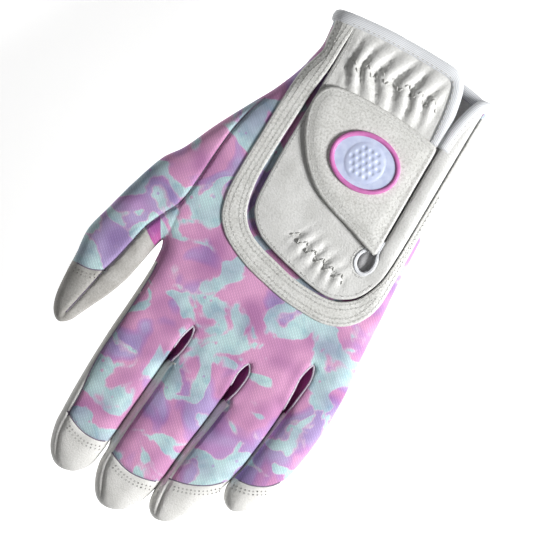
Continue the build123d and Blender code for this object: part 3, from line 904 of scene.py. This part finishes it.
def hole(radius):
    """A needle hole as a small shallow cup."""
    points = [(0, 0, -0.25 * radius)]
    for size, height in ((0.6, -0.12), (1.0, 0.10)):
        points += [(radius * size * cos(a), radius * size * sin(a), radius * height) for a in np.arange(8) * pi / 4]
    faces = [(0, 1 + k, 1 + (k + 1) % 8) for k in range(8)]
    return np.array(points), faces + [(1 + k, 9 + k, 9 + (k + 1) % 8, 1 + (k + 1) % 8) for k in range(8)]


def copies(name, template, spots):
    """One mesh of a template at each (x, y, z, heading, slope)."""
    shape, shape_faces = template
    points, faces = [], []
    for x, y, z, heading, slope in spots:
        turn = np.array(Matrix.Rotation(heading, 3, "Z") @ Matrix.Rotation(-slope, 3, "Y"))
        base = len(points) * len(shape)
        points.append(shape @ turn.T + (x, y, z))
        faces += [tuple(v + base for v in f) for f in shape_faces]
    return make(name, np.concatenate(points), faces)


def marks(line, pitch, height, lift=0.0, offset=0.0):
    """Evenly spaced places along a plan line, with heading and slope, moved sideways by offset."""
    line = np.asarray(line, float)
    run = run_length(line)
    at = np.arange(pitch / 2, run[-1], pitch)
    behind, spots, ahead = (along_line(at + ahead_by, run, line) for ahead_by in (-0.5, 0, 0.5))
    way = unit(ahead - behind)
    side = left_of(way) * offset
    low, high = height(behind + side), height(ahead + side)
    return [(x, y, z + lift, atan2(w[1], w[0]), atan2(b - a, 1.0))
            for (x, y), z, w, a, b in zip(spots + side, height(spots + side), way, low, high)]


def on_yoke(points):
    """Height of the yoke band's upper side."""
    return over_back(points) + LEATHER


def on_closure(points):
    """Height of the closure panel's upper side."""
    return closure_height(points) + LEATHER


def inset(ring, depth):
    """The closed line that runs depth inside another."""
    row = rings_inside(ring, (depth,))
    return np.concatenate([row, row[:1]])


def rows_of(ring, depth, keep=None):
    """The stitch rows depth inside a ring, as separate runs wherever the row is interrupted."""
    row = inset(ring, depth)
    if keep:
        row = row[keep(row)]
    return [run for run in runs_of(row, 3.0) if len(run) > 4]


yoke_rows = [run for depth in (1.4, 3.3) for run in rows_of(YOKE, depth)]
closure_rows = rows_of(CLOSURE, 1.4, lambda row: (row[:, 0] > -30) | (row[:, 1] > 90))
tab_rows = [run for depth in TAB_ROWS for run in rows_of(TAB, depth, lambda row: row[:, 0] > -33.0)]
thread_spots = [spot for row in yoke_rows for spot in marks(row, 2.2, on_yoke, -0.02)]
thread_spots += [spot for row in closure_rows for spot in marks(row, 2.2, on_closure, -0.02)]


def zigzag_marks(corners, height, per_leg=2):
    """Places of the beads that lie along each leg of a zigzag."""
    spots = []
    for a, b in zip(corners, corners[1:]):
        for k in range(per_leg):
            start, end = a + (b - a) * k / per_leg, a + (b - a) * (k + 1) / per_leg
            middle, (dx, dy) = (start + end) / 2, end - start
            low, high = height(np.array([start, end]))
            z = height(middle[None])[0] + 0.3
            spots.append((*middle, z, atan2(dy, dx), atan2(high - low, hypot(dx, dy))))
    return spots


def between(spots):
    """The needle holes of a row: halfway between one stitch and the next."""
    places = np.array(spots)[:, :3]
    middles = (places[:-1] + places[1:]) / 2 + (0, 0, 0.04)
    return [(*middle, 0.0, 0.0) for middle in middles[gaps(places[:, :2]) < 3.2]]


def cuff_marks(pitch=2.3, inward=3.0, upward=1.55):
    """Places along the cuff binding's inner edge, on its upper side only."""
    inner = unit(np.cross(cuff_up, np.gradient(cuff_path, axis=0)))
    row = cuff_path + inner * inward + cuff_up * upward
    row = row[cuff_up[:, 2] > 0.8]
    spots = []
    for run in runs_of(row, 4):
        length = run_length(run)
        for t in np.arange(pitch, length[-1] - pitch, pitch):
            dx, dy, dz = along_line(t + 0.6, length, run) - along_line(t - 0.6, length, run)
            spots.append((*along_line(t, length, run), atan2(dy, dx), atan2(dz, hypot(dx, dy))))
    return spots


copies("cuff_binding_thread", bead(1.6, 0.24), cuff_marks())
zig_spots = [spot for corners in ZIGZAGS for spot in zigzag_marks(corners, on_closure)]
tab_spots = [spot for row in tab_rows for spot in marks(row, 2.2, tab_top, -0.02)]
stitch, needle_hole_cup = bead(1.5, 0.2), hole(0.4)
copies("yoke_and_closure_thread", stitch, thread_spots)
copies("gather_zigzag_thread", bead(2.2, 0.36), zig_spots)
copies("tab_thread", stitch, tab_spots)
copies("yoke_needle_holes", needle_hole_cup, between(thread_spots))
copies("tab_needle_holes", needle_hole_cup, between(tab_spots))

# rows of needle holes on the leather caps, just outside each cap's seam
CAP_ROWS = {
    "thumb": [(60.8, 144.0), (66, 146.4), (72.6, 147.0)],
    "index": [(24.5, 206.2), (30, 207.6), (36, 206.9), (41.4, 204.6)],
    "middle": [(-2.2, 210.2), (4, 211.6), (11, 211.4), (16.4, 209.6)],
    "ring": [(-27.6, 196.2), (-22.5, 200.4), (-16.5, 203.4), (-10.4, 205.4)],
    "pinky": [(-45.0, 187.6), (-38.4, 191.2), (-31.4, 192.6)],
}
for finger, row in CAP_ROWS.items():
    spots = [spot for offset in (0, 1.4) for spot in marks(curve(row, 0.5)[0], 1.7, back_height, 0.03, offset)]
    copies(f"{finger}_cap_needle_holes", hole(0.36), [(x, y, z, 0.0, 0.0) for x, y, z, _, _ in spots])
print("stitches:", len(thread_spots) + len(zig_spots) + len(tab_spots))

# %% [markdown]
# ## The badge
# The tab carries a moulded rubber badge: an oval base, a raised rim and a ball with dimples. Moulded edges are
# soft, so the section that is turned round the oval has small rounds instead of corners.

# %% Badge
BADGE_AT = np.array([-11.5, 48.5])
BADGE_RADII = np.array([15.5, 12.5])
BADGE_LOW = 19.35          # height of the base's underside
OVAL_STEPS = 96
BALL, DIMPLED = 8.6, 7.2   # radii of the ball, and of its dimpled part
DIMPLE, DIMPLE_PITCH = 1.15, 3.1


def turned_oval(name, section, radii):
    """Turns a section of (inset, height) points round an oval."""
    points = [(*(BADGE_AT + (radii - depth) * (cos(a), sin(a))), BADGE_LOW + height)
              for a in np.arange(OVAL_STEPS) * 2 * pi / OVAL_STEPS for depth, height in section]
    return make(name, points, grid(OVAL_STEPS, len(section), wrap_rows=True))


turned_oval("badge_rim_rubber", [(0.0, -0.3), (0.0, 0.9), (0.12, 1.25), (0.45, 1.5), (0.95, 1.56), (1.4, 1.5),
                                             (1.75, 1.25), (1.9, 0.85), (2.2, 0.7)], BADGE_RADII)


def ball_field(points):
    """The badge's field: level, with a low domed ball whose dimples are pressed in."""
    points = np.asarray(points, float)[:, :2] - BADGE_AT
    d = np.linalg.norm(points, axis=1)
    z = BADGE_LOW + 0.75 + 0.75 * np.sqrt(np.clip(1 - (d / BALL) ** 2, 0, 1)) * (d < BALL)
    rows = np.round(points[:, 1] / (DIMPLE_PITCH * ROW_STEP))
    shift = np.where(rows % 2 == 0, 0, DIMPLE_PITCH / 2)
    columns = np.round((points[:, 0] - shift) / DIMPLE_PITCH)
    centre = np.stack([columns * DIMPLE_PITCH + shift, rows * DIMPLE_PITCH * ROW_STEP], 1)
    gap = np.linalg.norm(points - centre, axis=1)
    keep = np.linalg.norm(centre, axis=1) < DIMPLED
    return z - 0.42 * keep * np.clip(1 - (gap / DIMPLE) ** 2, 0, 1)


field_edge = BADGE_AT + oval(*(BADGE_RADII - 1.6), OVAL_STEPS)
field_points, field_faces, _ = mesh_pattern(field_edge, pitch=0.42, depths=(0.4,))
ball = ((field_points[np.array(field_faces)].mean(1) - BADGE_AT) ** 2).sum(1) < 8.5 ** 2
field_surface = np.column_stack([field_points, ball_field(field_points)])
badge = cut_out(field_surface, field_faces, ["badge_ball_rubber" if b else "badge_field_rubber" for b in ball])
print("badge:", {name: len(piece.data.polygons) for name, piece in badge.items()})

# %% Inside the closure: elastic tapes and the loop pad
def tape(name, line, width):
    """A flat tape along a plan line, under the closure panel."""
    line = curve(line, 1.5)[0]
    side = left_of(unit(np.gradient(line, axis=0)))
    rows = [line + side * width * t for t in np.linspace(-0.5, 0.5, 7)]
    points = [(*spot, z - 1.4) for row in rows for spot, z in zip(row, closure_height(row))]
    return make(name, points, [face[::-1] for face in grid(len(rows), len(line))])


tape("wrist_elastic_tape", [(-27, 16.5), (-8, 16.5), (13, 17.5)], 10)
tape("slit_elastic_tape", [(-28, 95.2), (-14.5, 93), (0, 88.6)], 6)

# %% [markdown]
# ## Materials
# Each material starts from how the real one is made. Patterns are laid out in millimetres on the cutting pattern,
# by way of the UV map, so they bend with the cloth instead of sliding through it.

# %% Node helpers
def linear(code):
    """An sRGB hex colour as linear RGBA."""
    values = [int(code[i:i + 2], 16) / 255 for i in (1, 3, 5)]
    return (*[v / 12.92 if v <= 0.04045 else ((v + 0.055) / 1.055) ** 2.4 for v in values], 1)


def add(tree, kind, inputs=(), **settings):
    """Adds a node with its settings; an input is a value or another node's output."""
    node = tree.nodes.new(kind)
    for key, value in settings.items():
        setattr(node, key, value)
    for key, value in dict(inputs).items():
        if isinstance(value, bpy.types.NodeSocket):
            tree.links.new(value, node.inputs[key])
        else:
            node.inputs[key].default_value = value
    return node


def new_material(name, solid=False):
    """A material with its tree, its shader, and positions in mm: on the plan, or in space for a CAD solid."""
    material = bpy.data.materials.new(name)
    material.use_nodes = True
    tree = material.node_tree
    shader = tree.nodes["Principled BSDF"]
    if solid:
        place_of = add(tree, "ShaderNodeTexCoord").outputs["Object"]
    else:
        place_of = add(tree, "ShaderNodeUVMap", uv_map="pattern").outputs[0]
    mm = add(tree, "ShaderNodeVectorMath", {0: place_of, "Scale": 1000.0 if solid else 100.0}, operation="SCALE")
    return material, tree, shader, mm.outputs[0]


def noise_of(tree, vector, size, **inputs):
    """Noise whose features are about size mm."""
    return add(tree, "ShaderNodeTexNoise", {"Vector": vector, "Scale": 1 / size, **inputs}).outputs[0]


def ramp(tree, factor, stops, mode="LINEAR"):
    """A colour ramp from (position, hex) stops."""
    node = add(tree, "ShaderNodeValToRGB", {"Fac": factor})
    node.color_ramp.interpolation = mode
    elements = node.color_ramp.elements
    while len(elements) < len(stops):
        elements.new(0.5)
    for element, (position, code) in zip(elements, stops):
        element.position, element.color = position, linear(code)
    return node.outputs[0]


def blend_colours(tree, factor, a, b, kind="MIX"):
    """Mixes two colours, each a hex code, RGBA values or another node's output."""
    node = add(tree, "ShaderNodeMix", data_type="RGBA", blend_type=kind)
    for socket, value in ((node.inputs[0], factor), (node.inputs[6], a), (node.inputs[7], b)):
        if isinstance(value, bpy.types.NodeSocket):
            tree.links.new(value, socket)
        else:
            socket.default_value = linear(value) if isinstance(value, str) else value
    return node.outputs[2]


def bump(tree, shader, height, depth, strength=1.0, before=None):
    """A bump of depth mm from a height between 0 and 1."""
    inputs = {"Height": height, "Distance": depth / 1000, "Strength": strength}
    if before is not None:
        inputs["Normal"] = before
    node = add(tree, "ShaderNodeBump", inputs)
    tree.links.new(node.outputs[0], shader.inputs["Normal"])
    return node.outputs[0]


# %% Printed stretch knit
# Polyester-elastane jersey with a transfer print: matt, with a faint sheen where the yarns catch the light. The
# print is soft-edged blotches of pink and mint about 20 mm across, over lilac, with small splashes between them.
PINK, MINT, LILAC, PALE = "#e2a6cd", "#c4e3e3", "#c2b0da", "#e6c9df"


def knit(name, tint=None, pink=0.5):
    """Printed knit; a higher pink leaves less mint, and a tint darkens it as painted shade."""
    material, tree, shader, mm = new_material(name)
    big = noise_of(tree, mm, 20, Detail=1.6, Roughness=0.45, Distortion=1.5)
    second = noise_of(tree, add(tree, "ShaderNodeVectorMath", {0: mm, 1: (310, 170, 40)}).outputs[0], 27,
                      Detail=2.0, Roughness=0.4, Distortion=0.8)
    small = noise_of(tree, mm, 5.0, Detail=1.0, Roughness=0.5, Distortion=0.8)
    ground = ramp(tree, second, [(0.50, PINK), (0.545, "#c99bd0"), (0.60, LILAC), (0.72, "#b29fd2")])
    splash = add(tree, "ShaderNodeMath", {0: small, 1: 0.13}, operation="MULTIPLY").outputs[0]
    shape = add(tree, "ShaderNodeMath", {0: big, 1: splash}, operation="ADD").outputs[0]
    mint_part, edge_glow = (
        add(tree, "ShaderNodeMapRange", {"Value": shape, "From Min": pink + a, "From Max": pink + b}).outputs[0]
        for a, b in ((0.090, 0.115), (0.065, 0.100)))
    pale = blend_colours(tree, edge_glow, ground, PALE)
    mint = ramp(tree, small, [(0.35, "#cdeaea"), (0.55, MINT), (0.75, "#b0d6db")])
    colour = blend_colours(tree, mint_part, pale, mint)
    drops = add(tree, "ShaderNodeTexVoronoi", {"Vector": mm, "Scale": 1 / 5.5}).outputs[0]
    drop = add(tree, "ShaderNodeMapRange", {"Value": drops, "From Min": 0.15, "From Max": 0.10}).outputs[0]
    faint_drop = add(tree, "ShaderNodeMath", {0: drop, 1: 0.75}, operation="MULTIPLY").outputs[0]
    colour = blend_colours(tree, faint_drop, colour, ground)
    shade = ramp(tree, noise_of(tree, mm, 15, Detail=1.0), [(0.3, "#d2c6da"), (0.62, "#ffffff")])
    colour = blend_colours(tree, 1.0, colour, shade, "MULTIPLY")
    # the knit's ribs are 0.35 mm in life and drawn at 0.8 mm, so that they show
    ribs = add(tree, "ShaderNodeTexWave", {"Vector": mm, "Scale": 0.39, "Distortion": 0.5, "Detail": 0.0},
               wave_type="BANDS", bands_direction="DIAGONAL").outputs[1]
    across = add(tree, "ShaderNodeTexWave", {"Vector": mm, "Scale": 0.39, "Distortion": 0.4, "Detail": 0.0},
                 wave_type="BANDS", bands_direction="X").outputs[1]
    weave = add(tree, "ShaderNodeMath", {0: ribs, 1: across}, operation="MULTIPLY").outputs[0]
    yarn = ramp(tree, weave, [(0.0, "#e6e2e8"), (0.6, "#ffffff")])
    colour = blend_colours(tree, 0.8, colour, blend_colours(tree, 1.0, colour, yarn, "MULTIPLY"))
    if tint:
        colour = blend_colours(tree, 1.0, colour, tint, "MULTIPLY")
    tree.links.new(colour, shader.inputs["Base Color"])
    shader.inputs["Roughness"].default_value = 0.78
    shader.inputs["IOR"].default_value = 1.5
    shader.inputs["Specular IOR Level"].default_value = 0.25
    shader.inputs["Sheen Weight"].default_value = 0.18
    shader.inputs["Sheen Roughness"].default_value = 0.5
    bump(tree, shader, weave, 0.10, 0.6)
    return material


# %% White synthetic leather
# Microfibre base with an embossed polyurethane skin: a fine pebble grain of about 0.6 mm and a low satin gloss.
def leather(name, light="#e6e6e3", dark="#dad9d5", grain=0.75, contrast=0.25, rough=0.5):
    material, tree, shader, mm = new_material(name)
    cells = add(tree, "ShaderNodeTexVoronoi", {"Vector": mm, "Scale": 1 / grain}, feature="F1").outputs[0]
    cloud = noise_of(tree, mm, 9, Detail=4.0, Roughness=0.6)
    speck = noise_of(tree, mm, grain * 1.1, Detail=2.0, Roughness=0.7)
    tone = ramp(tree, cloud, [(0.3, dark), (0.62, light)])
    fleck = ramp(tree, speck, [(0.34, "#b9b8b2"), (0.56, "#ffffff")])
    colour = blend_colours(tree, contrast, tone, blend_colours(tree, 1.0, tone, fleck, "MULTIPLY"))
    tree.links.new(colour, shader.inputs["Base Color"])
    shader.inputs["Roughness"].default_value = rough
    shader.inputs["IOR"].default_value = 1.48
    first = bump(tree, shader, cells, 0.16, 0.55)
    bump(tree, shader, speck, 0.10, 0.5, first)
    return material


# %% Tapes, thread, foam and rubber
def plain(name, colour, rough, size, depth, second=None, sheen=0.0, solid=False):
    """A material with soft colour changes and a bump of the given size."""
    material, tree, shader, mm = new_material(name, solid)
    cloud = noise_of(tree, mm, size, Detail=3.0)
    tree.links.new(ramp(tree, cloud, [(0.3, second or colour), (0.65, colour)]), shader.inputs["Base Color"])
    shader.inputs["Roughness"].default_value = rough
    shader.inputs["Sheen Weight"].default_value = sheen
    bump(tree, shader, cloud, depth, 0.7)
    return material


def ribbed(name, colour, second, pitch, depth):
    """Knitted elastic tape: fine ribs along its length."""
    material, tree, shader, mm = new_material(name)
    ribs = add(tree, "ShaderNodeTexWave", {"Vector": mm, "Scale": 0.314 / pitch}, bands_direction="Y").outputs[1]
    tree.links.new(ramp(tree, ribs, [(0.0, second), (0.7, colour)]), shader.inputs["Base Color"])
    shader.inputs["Roughness"].default_value = 0.62
    shader.inputs["Sheen Weight"].default_value = 0.1
    bump(tree, shader, ribs, depth, 0.7)
    return material


def bristly(name, colour, second, pitch, depth):
    """Hook or loop tape: rows of tiny upright tufts."""
    material, tree, shader, mm = new_material(name, solid=True)
    tufts = add(tree, "ShaderNodeTexVoronoi", {"Vector": mm, "Scale": 1 / pitch, "Randomness": 0.35}).outputs[0]
    tree.links.new(ramp(tree, tufts, [(0.1, colour), (0.7, second)]), shader.inputs["Base Color"])
    shader.inputs["Roughness"].default_value = 0.7
    bump(tree, shader, tufts, -depth, 0.9)
    return material


# painted shade: the seam threads are dark mauve so that they stand for the shade in the seams' grooves as well as
# the thread
seam_thread = plain("bonded_nylon_seam_thread", "#857a8e", 0.6, 0.8, 0.05, "#675c72")
overlock_thread = plain("overlock_edge_thread", "#dcd4de", 0.6, 0.7, 0.08, "#b9a9bf")
knit_print = knit("printed_polyester_knit")
# painted shade: the channel's knit is tinted dark to stand for the shadow in the recess between the yoke band and
# the closure panel
knit_painted_shade = knit("printed_polyester_knit_in_shade", tint=(0.5, 0.46, 0.5, 1))
# painted shade: the gussets' knit is tinted dark magenta to stand for the shade in the sunk crotches between the
# fingers and at the thumb
gusset_knit = knit("dark_printed_gusset_knit", tint=(0.72, 0.38, 0.66, 1), pink=0.64)
# partly painted shade: this leather is a little darker than the tab's and the caps' to stand for the shade on the
# closure panel; the rest is its own tone
pu_leather = leather("embossed_polyurethane_leather", "#dcdcda", "#cfcfcc")
pu_grained = leather("pebbled_polyurethane_leather", "#e2e2df", "#d5d5d1", 0.9, 0.5, 0.55)
pu_smooth = leather("smooth_polyurethane_leather", "#e8e7e4", "#dddcd8", 0.6, 0.22, 0.6)
# painted shade: the thumb's leather is a darker grey than the rest of the leather, to stand for the shade that lies
# on it
thumb_leather_painted_shade = leather("soft_grey_polyurethane_leather", "#b9b7b3", "#a4a19c", 0.7, 0.35, 0.6)
elastic_tape = ribbed("knitted_elastic_tape", "#eef0f2", "#c9ccd2", 0.7, 0.12)
polyester_thread = plain("polyester_sewing_thread", "#cfcfcc", 0.5, 0.5, 0.05, "#a9a9a6")
gather_thread = plain("waxed_polyester_thread", "#d0d0cd", 0.5, 0.5, 0.05, "#b0b0ac")
needle_hole = plain("punched_hole_shadow", "#6c6b67", 0.9, 0.8, 0.02, "#5c5b57")
lining_cloth = plain("woven_lining", "#e4e4e4", 0.8, 0.6, 0.08, "#cfcfd2")
loop_tape = bristly("brushed_nylon_loop_tape", "#ececee", "#c4c4c8", 0.9, 0.3)
hook_tape = bristly("moulded_nylon_hook_tape", "#f0f0f2", "#b2b2b8", 1.1, 0.5)
pink_rubber = plain("moulded_rubber_pink", "#d67fbd", 0.42, 3.0, 0.02, "#c96fb0")
lilac_rubber = plain("moulded_rubber_lilac", "#cdd6ef", 0.4, 3.0, 0.02, "#bcc6e4")
print("materials:", len(bpy.data.materials))

# %% Dressing the pieces
LOOKS = {
    knit_print: ["back_cloth", "thumb_base_cloth", "thumb_base_side_cloth", "thumb_outer_side_cloth",
                 "thumb_gusset_root", "index_fourchette", "middle_fourchette", "ring_fourchette",
                 *[f"{finger}_back_cloth" for finger in BORDERS]],
    knit_painted_shade: ["channel_cloth"],
    gusset_knit: ["thumb_gusset_patch", "thumb_crotch_gusset", *GUSSETS,
                  *[f"{stretch}_gusset" for stretch in KEYHOLE_STRETCHES]],
    pu_grained: ["yoke_band_leather", "tab_leather"],
    pu_leather: ["closure_panel_leather", "wrist_wrap", "palm_leather", "wrist_side_leather",
                 "little_side_leather"],
    thumb_leather_painted_shade: ["thumb_side_leather", "thumb_tip_leather", "thumb_front_leather", "thumb_end_side_leather",
                    "thumb_inner_side_leather"],
    elastic_tape: ["cuff_binding_tape", "slit_eye_binding", "wrist_elastic_tape", "slit_elastic_tape"],
    polyester_thread: ["yoke_and_closure_thread", "cuff_binding_thread", "tab_thread"],
    seam_thread: list(SEAM_PARTS),
    overlock_thread: [f"{stretch}_overlock_thread" for stretch in KEYHOLE_STRETCHES],
    gather_thread: ["gather_zigzag_thread"],
    needle_hole: ["yoke_needle_holes", "tab_needle_holes", *[f"{finger}_cap_needle_holes" for finger in CAP_ROWS]],
    lining_cloth: ["tab_lining_cloth", "eye_facing_cloth"],
    loop_tape: ["loop_pad"],
    hook_tape: ["hook_patch"],
    pink_rubber: ["badge_rim_rubber"],
    lilac_rubber: ["badge_field_rubber", "badge_ball_rubber"],
}
wearing = {name: material for material, names in LOOKS.items() for name in names}
own_pieces = [o for o in bpy.data.objects if o.type == "MESH" and o.name not in frame["nodes"]]
for piece in own_pieces:
    piece.data.materials.append(wearing.get(piece.name, pu_smooth))
for node in ("loop_pad", "hook_patch"):
    frame["nodes"][node].data.materials.clear()
    frame["nodes"][node].data.materials.append(wearing[node])

# %% Bodies
def body_of(name):
    """A piece's body, from the finger its name starts with; _only marks one that is clear of the knuckle."""
    words = name.split("_")
    if words[0] in ("tab", "badge"):
        return "tab"
    if name in GUSSETS:
        return words[1]
    if words[0] not in BORDERS or words[1] == "base" or name in ("thumb_crotch_gusset", "thumb_gusset_root"):
        return "hand"
    return words[0] + ("_only" if {"tip", "cap", "end"} & set(words) else "")


STANDS_FOR = {             # piece: the CAD nodes that it shows
    "back_cloth": ["back_panel"], "channel_cloth": ["channel_strip"], "thumb_base_cloth": ["thumb_base_back"],
    "palm_leather": ["palm_panel"], "yoke_band_leather": ["yoke_band"],
    "closure_panel_leather": ["closure_panel", "ulnar_flap", "tab_anchor"],
    "slit_eye_binding": ["slit_binding"], "cuff_binding_tape": ["cuff_binding"],
    "wrist_elastic_tape": ["wrist_elastic"], "slit_elastic_tape": ["slit_elastic"],
    "tab_leather": ["tab_skin", "tab_padding"], "tab_lining_cloth": ["tab_lining"],
    "badge_rim_rubber": ["badge_rim"], "badge_field_rubber": ["badge_base"], "badge_ball_rubber": ["badge_ball"],
    "thumb_crotch_gusset": ["thumb_gusset"], "thumb_inner_side_leather": ["thumb_side"],
}
for finger in BORDERS:
    for patch, node in (("back_cloth", "back"), ("tip_leather", "tip"), ("front_leather", "front")):
        STANDS_FOR[f"{finger}_{patch}"] = [f"{finger}_{node}"]
for finger, next_finger in (("index", "middle"), ("middle", "ring"), ("ring", "pinky")):
    STANDS_FOR[f"{finger}_fourchette"] = [f"{finger}_fourchette_littleside"]
    STANDS_FOR[f"{next_finger}_strip_side_leather"] = [f"{next_finger}_fourchette_thumbside"]
    STANDS_FOR[f"{finger}_{next_finger}_gusset_cloth"] = [f"{finger}_{next_finger}_gusset"]
for piece in own_pieces:
    follow(piece, body_of(piece.name), *STANDS_FOR.get(piece.name, []))
print("pieces:", len(own_pieces))

# %% [markdown]
# ## Floor, light and camera
# The glove is looked at from straight above, wrist up and to the right, over a white table. A small soft light
# stands low on the little finger's side and a broad, weak one high on the other, so seams and gathers show.

# %% Stage
RIGHT, UP = Vector((-0.866, -0.5, 0)), Vector((0.5, -0.866, 0))
VIEW_CENTRE = Vector((0.0015, 0.0366, 0.010))
VIEW_WIDTH = 0.2251
DISTANCE = 1.1
FLOOR = -0.080

floor_mesh = bpy.data.meshes.new("floor")
floor_mesh.from_pydata([(x, y, FLOOR) for x, y in ((-3, -3), (3, -3), (3, 3), (-3, 3))], [], [(0, 1, 2, 3)])
floor = bpy.data.objects.new("floor", floor_mesh)
collection.objects.link(floor)
# an acrylic light table: lit from inside, so it stays plain white and takes almost no shadow
acrylic = bpy.data.materials.new("backlit_opal_acrylic")
acrylic.use_nodes = True
table = acrylic.node_tree.nodes["Principled BSDF"].inputs
table["Base Color"].default_value = linear("#f2f2f2")
table["Roughness"].default_value = 0.9
table["Emission Color"].default_value = linear("#ffffff")
table["Emission Strength"].default_value = 0.75
floor_mesh.materials.append(acrylic)


def lamp(name, direction, size, power):
    """A soft square light that faces the glove from a direction."""
    light = bpy.data.lights.new(name, "AREA")
    light.size, light.energy = size, power
    piece = bpy.data.objects.new(name, light)
    piece.location = VIEW_CENTRE + Vector(direction)
    piece.rotation_mode = "QUATERNION"
    piece.rotation_quaternion = (-Vector(direction)).to_track_quat("-Z", "Y")
    collection.objects.link(piece)


lamp("key_light", RIGHT * 0.58 + UP * -0.22 + Vector((0, 0, 0.44)), 0.22, 8.4)
lamp("fill_light", RIGHT * -0.3 + UP * 0.4 + Vector((0, 0, 1.0)), 0.8, 1.2)
world = bpy.data.worlds.new("pale_studio")
bpy.context.scene.world = world
world.use_nodes = True
world.node_tree.nodes["Background"].inputs[0].default_value = linear("#ffffff")
world.node_tree.nodes["Background"].inputs[1].default_value = 0.1
camera = bpy.data.objects.new("camera", bpy.data.cameras.new("camera"))
collection.objects.link(camera)
camera.data.lens = camera.data.sensor_width * DISTANCE / VIEW_WIDTH
camera.data.clip_start, camera.data.clip_end = 0.05, 20
camera.matrix_world = Matrix.Translation(VIEW_CENTRE + Vector((0, 0, DISTANCE))) @ Matrix(
    (RIGHT, UP, Vector((0, 0, 1)))).transposed().to_4x4()
bpy.context.scene.camera = camera
bpy.context.scene.view_settings.view_transform = "Standard"
